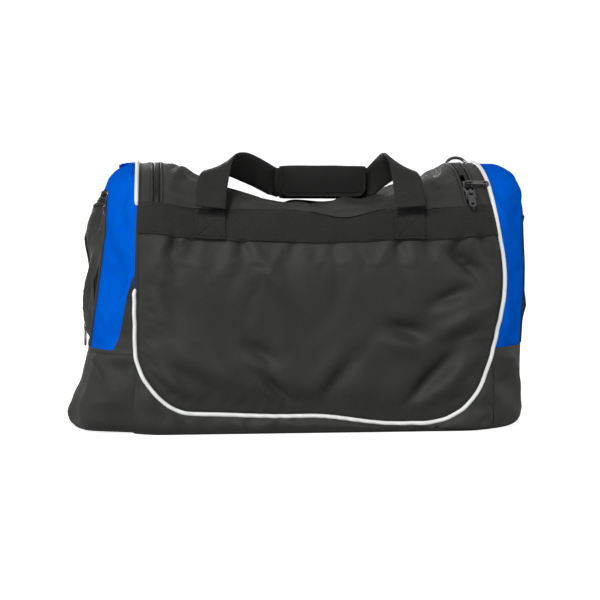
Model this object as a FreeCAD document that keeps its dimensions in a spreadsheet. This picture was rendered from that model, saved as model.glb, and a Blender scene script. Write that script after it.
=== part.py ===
import FreeCAD, Part
import math
import os
import Sketcher

# Soft duffel bag, millimetres. +X is the right-hand end, -Y the front, +Z up.
# The origin is the middle of the flat base, on the floor.

Vector = FreeCAD.Vector
Rotation = FreeCAD.Rotation
Placement = FreeCAD.Placement

doc = FreeCAD.newDocument("duffel_bag")
sizes = doc.addObject("Spreadsheet::Sheet", "sizes")

DRIVING_SIZES = [
    ("bag_length", 570), ("bag_depth", 300), ("corner_round", 95),
    ("crown_height", 340), ("crown_radius", 221), ("edge_round", 30), ("base_round", 12),
    ("saddle_low", 284), ("saddle_radius", 330), ("saddle_shift", 12), ("wall", 3),
    ("outline_half", 232.5), ("outline_low", 22.5), ("outline_round", 90), ("piping_size", 5),
    ("piping_proud", 2.5), ("gusset_low", 105),
    ("front_line", 138.6), ("lid_half", 212), ("lid_back", 122), ("lid_round", 45),
    ("strip_seam", 72), ("tape_width", 6), ("tape_gap", 2), ("coil_width", 2.5), ("coil_height", 1.8),
    ("pocket_front", 80), ("pocket_back", 80), ("pocket_top", 300), ("pocket_round", 60),
    ("pocket_depth", 32), ("pocket_gap", 4.5),
    ("park_length", 55), ("pocket_park", 34),
    ("band_low", 243), ("band_high", 281), ("band_thick", 2), ("webbing", 38), ("webbing_thick", 3),
    ("tab_spread", 125), ("tab_low", 245), ("tab_high", 279), ("tab_thick", 2.5),
    ("board_length", 500), ("board_depth", 240), ("board_thick", 3), ("lining_thick", 1.5),
    ("hinge_out", 157), ("hinge_height", 285),
    ("slider_length", 15), ("slider_width", 12), ("slider_plate", 1.4), ("slider_post", 1.2),
    ("slider_lift", 2.3), ("slider_drop", 4), ("crown_lift", 3.6), ("pin_radius", 1.1),
    ("pull_length", 27), ("pull_width", 9), ("pull_thick", 1.8),
    ("ring_x", 229), ("ring_y", 90), ("ring_z", 328.5), ("ring_wire", 2.2), ("ring_half", 15.2),
    ("ring_leg", 8), ("ring_tab", 25), ("ring_loop", 4.2),
    ("hook_radius", 9), ("hook_wire", 2.6), ("gate_wire", 1.8), ("swivel_reach", 24),
    ("strap_thick", 2.5), ("adjuster_height", 30), ("adjuster_wall", 4),
    ("wrap_length", 115), ("wrap_height", 44), ("wrap_thick", 14), ("wrap_middle", 27),
    ("wrap_back", 30), ("wrap_level", 315), ("flap_thick", 2), ("flap_height", 37),
]
for row, (alias, value) in enumerate(DRIVING_SIZES, start=1):
    sizes.set(f"A{row}", alias)
    sizes.set(f"B{row}", str(value))
    sizes.setAlias(f"B{row}", alias)
doc.recompute()

FAR = 400            # reach of the cutting blocks, well past the bag
PARTS = []           # the sub-parts that are written out


def value(alias):
    """Plain number of one driving size."""
    return float(getattr(sizes, alias))


def scoped(expression):
    """The expression with each driving size named through the sheet."""
    text = str(expression)
    for alias, _ in sorted(DRIVING_SIZES, key=lambda entry: -len(entry[0])):
        text = text.replace(alias, "\0" + str([a for a, _ in DRIVING_SIZES].index(alias)) + "\0")
    for number, (alias, _) in enumerate(DRIVING_SIZES):
        text = text.replace(f"\0{number}\0", "sizes." + alias)
    return text


def bind(item, **expressions):
    """Tie properties of an item to expressions over the sheet."""
    for name, expression in expressions.items():
        item.setExpression(name.replace("__", "."), scoped(expression))


def part(item, label):
    """Mark an item as a sub-part; its Label names its file."""
    item.Label = label
    PARTS.append(item)
    return item


# ---------------------------------------------------------------- building blocks

def block(name, low, high):
    """Block between two corners, each given as three expressions."""
    item = doc.addObject("Part::Box", name)
    for side, axis, start, end in zip(("Length", "Width", "Height"), "xyz", low, high):
        item.setExpression(side, scoped(f"({end}) - ({start})"))
        item.setExpression(f"Placement.Base.{axis}", scoped(start))
    return item


def rounded_block(name, low, high, radius, chosen):
    """Block whose edges that satisfy chosen(edge) are rounded."""
    body = doc.addObject("PartDesign::Body", name)
    box = body.newObject("PartDesign::AdditiveBox", name + "_box")
    for side, axis, start, end in zip(("Length", "Width", "Height"), "xyz", low, high):
        box.setExpression(side, scoped(f"({end}) - ({start})"))
        box.setExpression(f"Placement.Base.{axis}", scoped(start))
    doc.recompute()
    round_edges(body, box, radius, chosen)
    return body


def round_edges(body, feature, radius, chosen):
    """Fillet the edges of a feature that satisfy chosen(edge)."""
    names = [f"Edge{number}" for number, edge in enumerate(feature.Shape.Edges, start=1) if chosen(edge)]
    fillet = body.newObject("PartDesign::Fillet", feature.Name + "_round")
    fillet.Base = (feature, names)
    fillet.setExpression("Radius", scoped(radius))
    doc.recompute()
    body.Tip = fillet
    return fillet


def origin_plane(body, role):
    """One of the body's own origin planes."""
    return next(plane for plane in body.Origin.OriginFeatures if plane.Role == role)


def sketch_on(body, name, role):
    """A sketch attached to one of the body's own origin planes."""
    sketch = body.newObject("Sketcher::SketchObject", name)
    sketch.AttachmentSupport = (origin_plane(body, role), [""])
    sketch.MapMode = "FlatFace"
    return sketch


def constrain(sketch, kind, *arguments, expression):
    """Add one dimension to a sketch and tie it to the sheet."""
    number = sketch.addConstraint(Sketcher.Constraint(kind, *arguments, abs(size_of(expression))))
    sketch.setExpression(f"Constraints[{number}]", scoped(expression))


def size_of(expression):
    """Number that an expression over the sheet comes to."""
    return float(sizes.evalExpression(str(expression)))


def union(name, items):
    """Several solids joined into one."""
    fused = doc.addObject("Part::MultiFuse", name)
    fused.Shapes = items
    return fused


def common(name, *items):
    """What all the items share."""
    shared = doc.addObject("Part::MultiCommon", name)
    shared.Shapes = list(items)
    return shared


def cut(name, base, tool):
    """Base without tool."""
    rest = doc.addObject("Part::Cut", name)
    rest.Base = base
    rest.Tool = tool
    return rest


def between(low, high):
    """Edge test: the middle of the edge lies within a height range."""
    return lambda edge: low < edge.BoundBox.ZMin and edge.BoundBox.ZMax < high


# ---------------------------------------------------------------- the filled form

def bag_form(name, grow, floor):
    """The bag's filled form with its faces moved outwards by grow, standing on floor.

    A D-shaped prism along X, rounded in plan and along its top and bottom edges,
    with a shallow saddle where the top sags between the two ends.
    """
    body = doc.addObject("PartDesign::Body", name)
    body.setExpression("Placement.Base.z", scoped(floor))
    half = size_of(f"bag_depth / 2 + {grow}")
    radius = size_of(f"crown_radius + {grow}")
    centre = size_of(f"crown_height - crown_radius - {floor}")
    spring = centre + math.sqrt(radius ** 2 - half ** 2)
    lean = math.acos(half / radius)

    profile = sketch_on(body, name + "_profile", "YZ_Plane")
    profile.addGeometry([
        Part.LineSegment(Vector(-half, 0, 0), Vector(half, 0, 0)),
        Part.LineSegment(Vector(half, 0, 0), Vector(half, spring, 0)),
        Part.ArcOfCircle(Part.Circle(Vector(0, centre, 0), Vector(0, 0, 1), radius), lean, math.pi - lean),
        Part.LineSegment(Vector(-half, spring, 0), Vector(-half, 0, 0)),
    ])
    for first, first_end, second, second_end in ((0, 2, 1, 1), (1, 2, 2, 1), (2, 2, 3, 1), (3, 2, 0, 1)):
        profile.addConstraint(Sketcher.Constraint("Coincident", first, first_end, second, second_end))
    profile.addConstraint(Sketcher.Constraint("Vertical", 1))
    profile.addConstraint(Sketcher.Constraint("Vertical", 3))
    profile.addConstraint(Sketcher.Constraint("PointOnObject", 0, 1, -1))
    profile.addConstraint(Sketcher.Constraint("PointOnObject", 2, 3, -2))
    profile.addConstraint(Sketcher.Constraint("Symmetric", 0, 1, 0, 2, -2))
    constrain(profile, "DistanceX", 0, 1, 0, 2, expression=f"bag_depth + 2 * ({grow})")
    constrain(profile, "DistanceY", -1, 1, 2, 3, expression=f"crown_height - crown_radius - ({floor})")
    constrain(profile, "Radius", 2, expression=f"crown_radius + {grow}")

    prism = body.newObject("PartDesign::Pad", name + "_prism")
    prism.Profile = profile
    prism.SideType = "Symmetric"
    bind(prism, Length=f"bag_length + 2 * ({grow})")
    doc.recompute()

    upright = lambda edge: edge.BoundBox.ZLength > 100 and edge.BoundBox.XLength < 1 > edge.BoundBox.YLength
    corners = round_edges(body, prism, f"corner_round + {grow}", upright)
    top = round_edges(body, corners, f"edge_round + {grow}", between(200, FAR))
    base = round_edges(body, top, f"base_round + {grow}", between(-1, 8))

    saddle = sketch_on(body, name + "_saddle", "XZ_Plane")
    middle = size_of(f"saddle_low + saddle_radius - {floor}")
    shift = value("saddle_shift")
    saddle_size = size_of(f"saddle_radius - ({grow})")
    saddle.addGeometry(Part.Circle(Vector(shift, middle, 0), Vector(0, 0, 1), saddle_size))
    constrain(saddle, "DistanceX", -1, 1, 0, 3, expression="saddle_shift")
    constrain(saddle, "DistanceY", -1, 1, 0, 3, expression=f"saddle_low + saddle_radius - ({floor})")
    constrain(saddle, "Radius", 0, expression=f"saddle_radius - ({grow})")
    sag = body.newObject("PartDesign::Pocket", name + "_sag")
    sag.Profile = saddle
    sag.SideType = "Symmetric"
    bind(sag, Length="2 * bag_depth")
    doc.recompute()
    if sag.Shape.Volume > base.Shape.Volume - 1000:
        raise RuntimeError(f"{name}: the saddle cuts nothing")
    body.Tip = sag
    return body


def layer(name, inner, outer):
    """The skin between two forms."""
    return cut(name, outer, inner)


inner_form = bag_form("inner_form", "-wall", "wall")
outer_form = bag_form("outer_form", "0", "0")
piping_form = bag_form("piping_form", "piping_proud", "0")
band_form = bag_form("band_form", "band_thick", "0")
tab_form = bag_form("tab_form", "band_thick + tab_thick", "0")
coil_form = bag_form("coil_form", "coil_height", "0")
tail_form = bag_form("tail_form", "piping_proud + 0.4", "0")
tail_top_form = bag_form("tail_top_form", "piping_proud + 2.6", "0")

fabric = layer("fabric", inner_form, outer_form)
piping_layer = layer("piping_layer", inner_form, piping_form)
band_layer = layer("band_layer", outer_form, band_form)
tab_layer = layer("tab_layer", band_form, tab_form)
coil_layer = layer("coil_layer", outer_form, coil_form)
tail_layer = layer("tail_layer", tail_form, tail_top_form)


# ---------------------------------------------------------------- panels and piping

def outline_prism(name, offset, front, back):
    """Prism along Y inside the U-shaped piping outline, moved in by offset."""
    low = (f"-outline_half + {offset}", front, f"outline_low + {offset}")
    high = (f"outline_half - ({offset})", back, FAR)
    lower_edges = lambda edge: edge.BoundBox.YLength > 50 and edge.BoundBox.ZMax < 60
    return rounded_block(name, low, high, f"outline_round - ({offset})", lower_edges)


def side_panel(label, sign):
    """Large front or rear panel inside the piping, up to the line where the top begins."""
    ends = (("-" + str(FAR), "-front_line"), ("front_line", FAR))[sign > 0]
    panel_prism = outline_prism(label + "_prism", "piping_size / 2", *ends)
    return part(common(label, fabric, panel_prism), label)


side_panel("front_panel", -1)
side_panel("rear_panel", +1)

piping_outside = outline_prism("piping_outside", "-piping_size / 2", -FAR, FAR)
piping_inside = outline_prism("piping_inside", "piping_size / 2", -FAR, FAR)
piping_ribbon = cut("piping_ribbon", piping_outside, piping_inside)
part(common("piping", piping_layer, piping_ribbon), "piping")

below_gusset = block("below_gusset", (-FAR, -FAR, -10), (FAR, FAR, "gusset_low"))
lower_skin = common("lower_skin", fabric, below_gusset)
part(cut("bottom_panel", lower_skin, piping_outside), "bottom_panel")

board = rounded_block("base_board", ("-board_length / 2", "-board_depth / 2", "wall"),
                      ("board_length / 2", "board_depth / 2", "wall + board_thick"),
                      "corner_round / 2", lambda edge: edge.BoundBox.ZLength > 1)
part(board, "base_board")


def plan_prism(name, offset):
    """Upright prism inside the lid's zipped outline, moved in by offset; open at the front."""
    low = (f"-lid_half + {offset}", "-front_line", 200)
    high = (f"lid_half - ({offset})", f"lid_back - ({offset})", FAR)
    rear_edges = lambda edge: edge.BoundBox.ZLength > 50 and edge.BoundBox.YMin > 0
    return rounded_block(name, low, high, f"lid_round - ({offset})", rear_edges)


lid_hole = plan_prism("lid_hole", "0")
deck_span = block("deck_span", ("-outline_half + piping_size / 2", "-front_line", 200),
                  ("outline_half - piping_size / 2", "front_line", FAR))
deck_skin = common("deck_skin", fabric, deck_span)
deck_frame = cut("deck_frame", deck_skin, lid_hole)
STRIPS = {
    "left_top_strip": ((-FAR, -FAR, 0), (0, "strip_seam", FAR)),
    "right_top_strip": ((0, -FAR, 0), (FAR, "strip_seam", FAR)),
    "rear_top_strip": ((-FAR, "strip_seam", 0), (FAR, FAR, FAR)),
}
for label, (low, high) in STRIPS.items():
    part(common(label, deck_frame, block(label + "_span", low, high)), label)

# Main zip: each half is a tape set into the skin and a coil standing on the tape's free edge.
body_tape_edge = plan_prism("body_tape_edge", "tape_width")
body_coil_back = plan_prism("body_coil_back", "tape_width - coil_width")
lid_tape_edge = plan_prism("lid_tape_edge", "tape_width + tape_gap")
lid_coil_back = plan_prism("lid_coil_back", "tape_width + tape_gap + coil_width")
lid_cloth_edge = plan_prism("lid_cloth_edge", "2 * tape_width + tape_gap")
parking = block("parking", ("lid_half - 4 * tape_width", -FAR, 0), (FAR, "park_length - front_line", FAR))

body_tape_plan = cut("body_tape_plan", lid_hole, body_tape_edge)
part(common("main_zip_tape", fabric, body_tape_plan), "main_zip_tape")
body_coil_plan = cut("body_coil_plan", body_coil_back, body_tape_edge)
part(common("main_zip_coil", coil_layer, body_coil_plan), "main_zip_coil")

lid_tape_plan = cut("lid_tape_plan", lid_tape_edge, lid_cloth_edge)
lid_tape_whole = common("lid_tape_whole", fabric, lid_tape_plan)
part(cut("lid_zip_tape", lid_tape_whole, parking), "lid_zip_tape")
lid_coil_plan = cut("lid_coil_plan", lid_tape_edge, lid_coil_back)
lid_coil_whole = common("lid_coil_whole", coil_layer, lid_coil_plan)
part(cut("lid_zip_coil", lid_coil_whole, parking), "lid_zip_coil")
part(common("lid_panel", fabric, lid_cloth_edge), "lid_panel")


# ---------------------------------------------------------------- end gussets and pockets

def pocket_prism(name, side, offset):
    """Prism along X inside the end pocket's arched outline, moved in by offset."""
    start, end = (("bag_length / 2 - corner_round / 3", FAR) if side > 0 else
                  (-FAR, "-bag_length / 2 + corner_round / 3"))
    low = (start, f"-pocket_front + {offset}", "gusset_low")
    high = (end, f"pocket_back - ({offset})", f"pocket_top - ({offset})")
    upper_edges = lambda edge: edge.BoundBox.XLength > 50 and edge.BoundBox.ZMin > 200
    return rounded_block(name, low, high, f"pocket_round - ({offset})", upper_edges)


def end_pieces(word, side):
    """Gusset, pocket zip, pocket front and pocket lining of one end."""
    edge = "outline_half + piping_size / 2"
    span = (((-FAR, -FAR, "gusset_low"), (f"-({edge})", FAR, FAR)),
            ((edge, -FAR, "gusset_low"), (FAR, FAR, FAR)))[side > 0]
    mouth = pocket_prism(word + "_pocket_mouth", side, "0")
    end_skin = common(word + "_end_skin", fabric, block(word + "_end_span", *span))
    part(cut(word + "_gusset", end_skin, mouth), word + "_gusset")

    tape_edge = pocket_prism(word + "_pocket_tape_edge", side, "tape_width")
    coil_back = pocket_prism(word + "_pocket_coil_back", side, "tape_width - coil_width")
    tape = common(word + "_pocket_tape", fabric, cut(word + "_pocket_tape_plan", mouth, tape_edge))
    coil = common(word + "_pocket_coil", coil_layer, cut(word + "_pocket_coil_plan", coil_back, tape_edge))
    part(union(word + "_pocket_zip", [tape, coil]), word + "_pocket_zip")

    flap_edge = pocket_prism(word + "_pocket_flap_edge", side, "tape_width + pocket_gap")
    flap_coil_back = pocket_prism(word + "_pocket_flap_coil_back", side,
                                  "tape_width + pocket_gap + coil_width")
    above_seam = block(word + "_above_seam", (-FAR, -FAR, "gusset_low + 1"), (FAR, FAR, FAR))
    flap_cloth = common(word + "_flap_cloth", fabric, flap_edge, above_seam)
    flap_coil = common(word + "_flap_coil", coil_layer, above_seam,
                       cut(word + "_flap_coil_plan", flap_edge, flap_coil_back))
    flap = union(word + "_flap", [flap_cloth, flap_coil])
    slider_bay = block(word + "_slider_bay", (-FAR, "pocket_back - 4 * tape_width", 0),
                       (FAR, FAR, "gusset_low + pocket_park"))
    part(cut(word + "_pocket_panel", flap, slider_bay), word + "_pocket_panel")

    back, front = ("bag_length / 2 - wall - pocket_depth", FAR) if side > 0 else \
        (-FAR, "wall + pocket_depth - bag_length / 2")
    box = block(word + "_lining_box", (back, "-pocket_front - 6", "gusset_low - 6"),
                (front, "pocket_back + 6", "pocket_top + 6"))
    skin = "lining_thick"
    hollow_back, hollow_front = (f"{back} + {skin}", FAR) if side > 0 else (-FAR, f"{front} - {skin}")
    hollow = block(word + "_lining_hollow",
                   (hollow_back, f"-pocket_front - 6 + {skin}", f"gusset_low - 6 + {skin}"),
                   (hollow_front, f"pocket_back + 6 - {skin}", f"pocket_top + 6 - {skin}"))
    tray = cut(word + "_lining_tray", box, hollow)
    part(common(word + "_pocket_lining", tray, inner_form), word + "_pocket_lining")


end_pieces("left", -1)
end_pieces("right", +1)


# ---------------------------------------------------------------- webbing sewn to the body

def band(label, front):
    """Webbing belt sewn across the front or the rear, between the two pipings."""
    near, far = ((-FAR, "-corner_round"), ("corner_round", FAR))[not front]
    span = block(label + "_span", ("-outline_half + piping_size / 2 + 0.4", near, "band_low"),
                 ("outline_half - piping_size / 2 - 0.4", far, "band_high"))
    part(common(label, band_layer, span), label)


def handle_tabs(label, front):
    """The two sewn ends of a handle, on top of the belt."""
    near, far = ((-FAR, "-corner_round"), ("corner_round", FAR))[not front]
    feet = []
    for word, sign in (("left", "-"), ("right", "")):
        span = block(f"{label}_{word}_span", (f"{sign}tab_spread - webbing / 2", near, "tab_low"),
                     (f"{sign}tab_spread + webbing / 2", far, "tab_high"))
        feet.append(common(f"{label}_{word}", tab_layer, span))
    part(union(label, feet), label)


band("front_band", True)
band("rear_band", False)
handle_tabs("front_handle_tabs", True)
handle_tabs("rear_handle_tabs", False)


# ---------------------------------------------------------------- webbing that stands free

def ribbon(stations, width, thick):
    """Flat webbing through stations of (centre, direction across the width), as one ruled solid."""
    sections = []
    for number, (centre, across) in enumerate(stations):
        before = Vector(*stations[max(number - 1, 0)][0])
        after = Vector(*stations[min(number + 1, len(stations) - 1)][0])
        along = (after - before).normalize()
        side = Vector(*across)
        side = (side - along * side.dot(along)).normalize() * (width / 2)
        face = along.cross(side).normalize() * (thick / 2)
        middle = Vector(*centre)
        corners = [middle + side + face, middle - side + face, middle - side - face, middle + side - face]
        sections.append(Part.makePolygon(corners + corners[:1]))
    return Part.makeLoft(sections, True, True)


def webbing_part(label, stations, width, thick):
    """A sub-part of loose webbing."""
    item = doc.addObject("Part::Feature", label)
    item.Shape = ribbon(stations, width, thick)
    item.Placement = Placement()
    return part(item, label)


hinge_out = value("hinge_out")
hinge_height = value("hinge_height")
spread = value("tab_spread")
wrap_left = value("wrap_middle") - value("wrap_length") / 2
wrap_right = value("wrap_middle") + value("wrap_length") / 2
wrap_back = value("wrap_back")
wrap_level = value("wrap_level")

ACROSS_X = (1, 0, 0)
ACROSS_Y = (0, 1, 0)
ACROSS_Z = (0, 0, 1)

# The loop rises from its sewn ends, folds over and runs into the grip standing on edge.
FRONT_HANDLE = [
    ((-spread, -hinge_out, hinge_height), ACROSS_X),
    ((-121, -147, 317), (1, 0, 0.1)),
    ((-112, -125, 335), (1, -0.1, 0.45)),
    ((-93, -93, 339), (0.8, -0.2, 0.9)),
    ((-66, -56, 330), (0.3, 0, 1)),
    ((wrap_left - 6, -wrap_back, wrap_level), ACROSS_Z),
    ((wrap_left, -wrap_back, wrap_level), ACROSS_Z),
    ((wrap_right, -wrap_back, wrap_level), ACROSS_Z),
    ((wrap_right + 5, -wrap_back, wrap_level), ACROSS_Z),
    ((103, -56, 330), (-0.3, 0, 1)),
    ((112, -90, 339), (-0.8, -0.2, 0.9)),
    ((118, -124, 335), (-1, -0.1, 0.45)),
    ((122, -147, 317), (-1, 0, 0.1)),
    ((spread, -hinge_out, hinge_height), (-1, 0, 0)),
]
webbing_part("front_handle", FRONT_HANDLE, value("webbing"), value("webbing_thick"))

# The rear loop hangs down the back of the bag.
REAR_HANDLE = [
    ((-spread, hinge_out, hinge_height), ACROSS_X),
    ((-124, 160, 230), (1, 0, 0.05)),
    ((-114, 162, 178), (1, 0, 0.4)),
    ((-84, 164, 138), (0.7, 0, 0.7)),
    ((-40, 165, 122), (0.25, 0, 1)),
    ((40, 165, 122), (-0.25, 0, 1)),
    ((84, 164, 138), (-0.7, 0, 0.7)),
    ((114, 162, 178), (-1, 0, 0.4)),
    ((124, 160, 230), (-1, 0, 0.05)),
    ((spread, hinge_out, hinge_height), (-1, 0, 0)),
]
webbing_part("rear_handle", REAR_HANDLE, value("webbing"), value("webbing_thick"))

# Padded sleeve closed round the front handle, and the flap that fastens it.
wrap_body = rounded_block(
    "wrap_body",
    ("wrap_middle - wrap_length / 2 + 0.5", "-wrap_back - wrap_thick / 2", "wrap_level - wrap_height / 2"),
    ("wrap_middle + wrap_length / 2 - 0.5", "wrap_thick / 2 - wrap_back", "wrap_level + wrap_height / 2"),
    "wrap_thick / 3", lambda edge: edge.BoundBox.XLength > 50)
wrap_slot = block(
    "wrap_slot",
    ("wrap_middle - wrap_length", "-wrap_back - webbing_thick / 2 - 0.05", "wrap_level - webbing / 2 - 0.05"),
    ("wrap_middle + wrap_length", "webbing_thick / 2 - wrap_back + 0.05", "wrap_level + webbing / 2 + 0.05"))
part(cut("grip_wrap", wrap_body, wrap_slot), "grip_wrap")
grip_flap = rounded_block(
    "grip_flap",
    ("wrap_middle - wrap_length / 2 + 2",
     "-wrap_back - wrap_thick / 2 - flap_thick - 0.5", "wrap_level + wrap_height / 2 - flap_height - 3"),
    ("wrap_middle + wrap_length / 2 - 2",
     "-wrap_back - wrap_thick / 2 - 0.5", "wrap_level + wrap_height / 2 - 3"),
    "wrap_height / 4", lambda edge: edge.BoundBox.YLength > 1 and edge.BoundBox.ZMax < 305)
part(grip_flap, "grip_flap")

# Shoulder strap: over the right shoulder, down past the end, along the floor behind the bag
# and up the back to the left ring.
RIGHT_BAR = (281, 107, 316)
LEFT_BAR = (-229, 152, 300)
RIGHT_START = (282.8, 107.5, 313.6)
LEFT_START = (-229, 153.8, 297.2)
ADJUSTER_TOP = (299.5, 119, 128)
ADJUSTER_FOOT = (294, 121, 52)
SHOULDER_STRAP = [
    (RIGHT_START, ACROSS_Y),
    ((290, 108, 303), ACROSS_Y),
    ((295, 111, 275), ACROSS_Y),
    ((298, 114, 236), ACROSS_Y),
    ((301, 117, 182), ACROSS_Y),
    (ADJUSTER_TOP, ACROSS_Y),
    (ADJUSTER_FOOT, ACROSS_Y),
    ((288, 136, 30), (-0.3, 1, 0.3)),
    ((266, 158, 23), (-0.35, 0.45, 0.8)),
    ((228, 170, 21), (-0.05, 0.1, 1)),
    ((120, 174, 20.5), ACROSS_Z),
    ((0, 174, 20.5), ACROSS_Z),
    ((-100, 173, 21), ACROSS_Z),
    ((-150, 171, 30), (0.3, 0, 1)),
    ((-190, 168, 66), (0.85, 0, 0.75)),
    ((-212, 164, 120), (1, 0, 0.35)),
    ((-224, 160, 190), (1, 0, 0.1)),
    ((-228, 159, 260), ACROSS_X),
    ((-229, 158, 287), ACROSS_X),
    (LEFT_START, ACROSS_X),
]
webbing_part("shoulder_strap", SHOULDER_STRAP, value("webbing"), value("strap_thick"))


def place(item, base, x_axis, z_hint):
    """Put an item's local frame at base, its x axis along x_axis and its z axis near z_hint."""
    along = Vector(*x_axis).normalize()
    up = Vector(*z_hint)
    up = (up - along * up.dot(along)).normalize()
    item.Placement = Placement(Vector(*base), Rotation(along, up.cross(along), up, "XZY"))
    return item


def rod(name, radius, start, end):
    """Cylinder from start to end in the current frame, its radius tied to the sheet."""
    first, last = Vector(*start), Vector(*end)
    item = doc.addObject("Part::Cylinder", name)
    bind(item, Radius=radius)
    item.Height = (last - first).Length
    item.Placement = Placement(first, Rotation(Vector(0, 0, 1), last - first))
    return item


def ball(name, radius, centre):
    """Sphere at a point."""
    item = doc.addObject("Part::Sphere", name)
    bind(item, Radius=radius)
    item.Placement.Base = Vector(*centre)
    return item


def bent_rod(name, bend, radius, centre, sweep, turn):
    """Arc of round rod in its local XY plane, swept by sweep degrees, then turned to its place."""
    item = doc.addObject("Part::Torus", name)
    bind(item, Radius1=bend, Radius2=radius)
    item.Angle3 = sweep
    item.Placement = Placement(Vector(*centre), turn)
    return item


adjuster_along = Vector(*ADJUSTER_TOP) - Vector(*ADJUSTER_FOOT)
adjuster_base = (Vector(*ADJUSTER_TOP) + Vector(*ADJUSTER_FOOT)) * 0.5
frame_block = rounded_block("adjuster_frame",
                            ("-adjuster_height / 2", "-webbing / 2 - adjuster_wall", "-adjuster_wall"),
                            ("adjuster_height / 2", "webbing / 2 + adjuster_wall", "adjuster_wall"),
                            "1.5", lambda edge: edge.BoundBox.XLength > 20)
frame_slot = block("adjuster_slot", ("-adjuster_height", "-webbing / 2 - 0.5", "-strap_thick / 2 - 0.4"),
                   ("adjuster_height", "webbing / 2 + 0.5", "strap_thick / 2 + 0.4"))
adjuster = cut("strap_adjuster", frame_block, frame_slot)
place(part(adjuster, "strap_adjuster"), adjuster_base, adjuster_along, (1, 0, 0))


# ---------------------------------------------------------------- rings and hooks

def d_ring(label, x, tilt):
    """D-ring whose straight bar lies along X; tilt turns it back from upright."""
    reach = value("ring_half")
    leg = value("ring_leg")
    pieces = [rod(label + "_bar", "ring_wire", (-reach, 0, 0), (reach, 0, 0))]
    for word, sign in (("left", -1), ("right", 1)):
        pieces.append(ball(f"{label}_{word}_corner", "ring_wire", (sign * reach, 0, 0)))
        pieces.append(rod(f"{label}_{word}_leg", "ring_wire", (sign * reach, 0, 0), (sign * reach, 0, leg)))
    pieces.append(bent_rod(label + "_bow", "ring_half", "ring_wire", (0, 0, leg), 180,
                           Rotation(Vector(1, 0, 0), 90)))
    ring = part(union(label, pieces), label)
    ring.Placement = Placement(Vector(x, value("ring_y"), value("ring_z")), Rotation(Vector(1, 0, 0), tilt))
    return ring


d_ring("right_dring", value("ring_x"), -30)
d_ring("left_dring", -value("ring_x"), -100)


def ring_tab(label, sign):
    """Short webbing loop that holds a D-ring, its tail sewn to the top of the bag."""
    x = sign * value("ring_x")
    half = value("ring_tab") / 2
    loop = rod(label + "_loop", "ring_loop", (x - half, value("ring_y"), value("ring_z")),
               (x + half, value("ring_y"), value("ring_z")))
    bore = rod(label + "_bore", "ring_wire + 0.4", (x - half - 5, value("ring_y"), value("ring_z")),
               (x + half + 5, value("ring_y"), value("ring_z")))
    side = "-" if sign < 0 else ""
    span = block(label + "_span", (f"{side}ring_x - ring_tab / 2", "ring_y - 40", 200),
                 (f"{side}ring_x + ring_tab / 2", "ring_y", FAR))
    tail = common(label + "_tail", tail_layer, span)
    part(cut(label, union(label + "_sewn", [loop, tail]), bore), label)


ring_tab("left_dring_tab", -1)
ring_tab("right_dring_tab", +1)


GATE_PIVOT = (9.6, -5.4, 0)
GATE_TIP = (7.4, -8.1, 0)


def snap_hook(word, grip, bar, hook_normal, eye_normal):
    """Hook body, spring gate and swivel eye between a ring and the end of the strap.

    Local frame: origin at the middle of the hook's bend, x towards the strap, y across it.
    """
    axis = Vector(*bar) - Vector(*grip)
    bend = value("hook_radius")
    reach = axis.Length
    eye_half = value("webbing") / 2 + 3
    neck = reach - value("swivel_reach")
    bow = bent_rod(word + "_hook_bow", "hook_radius", "hook_wire", (0, 0, 0), 282, Rotation())
    stem = rod(word + "_hook_stem", "hook_wire + 0.4", (bend - 1, 0, 0), (neck, 0, 0))
    nose = ball(word + "_hook_nose", "hook_wire + 0.3", (bend * math.cos(math.radians(282)),
                                                   bend * math.sin(math.radians(282)), 0))
    hook = part(union(word + "_hook_body", [bow, stem, nose]), word + "_hook_body")
    place(hook, grip, axis, hook_normal)

    gate = rod(word + "_gate_bar", "gate_wire", GATE_PIVOT, GATE_TIP)
    pivot = rod(word + "_gate_pivot", "gate_wire", (GATE_PIVOT[0], GATE_PIVOT[1], -2.4),
                (GATE_PIVOT[0], GATE_PIVOT[1], 2.4))
    place(part(union(word + "_hook_gate", [gate, pivot]), word + "_hook_gate"), grip, axis, hook_normal)

    barrel = rod(word + "_swivel_barrel", "hook_wire + 2", (neck + 0.3, 0, 0), (reach - 14.5, 0, 0))
    bars = []
    for name, x in (("inner", reach - 15), ("outer", reach - 3)):
        bars.append(rod(f"{word}_swivel_{name}", "ring_wire", (x, -eye_half, 0), (x, eye_half, 0)))
        for end, sign in (("front", -1), ("back", 1)):
            bars.append(ball(f"{word}_swivel_{name}_{end}_ball", "ring_wire", (x, sign * eye_half, 0)))
    for end, sign in (("front", -1), ("back", 1)):
        bars.append(rod(f"{word}_swivel_{end}", "ring_wire", (reach - 15, sign * eye_half, 0),
                        (reach - 3, sign * eye_half, 0)))
    swivel = part(union(word + "_hook_swivel", [barrel] + bars), word + "_hook_swivel")
    place(swivel, grip, axis, eye_normal)


RIGHT_GRIP = (247, 95, 335)
LEFT_GRIP = (-229, 115.5, 323)
snap_hook("right", RIGHT_GRIP, RIGHT_BAR, (0, 0.5, 0.87), (0.4, 0, 1))
snap_hook("left", LEFT_GRIP, LEFT_BAR, (0.7, 0, 0.7), (0, 0.2, 1))


# ---------------------------------------------------------------- sliders and pulls

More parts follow.
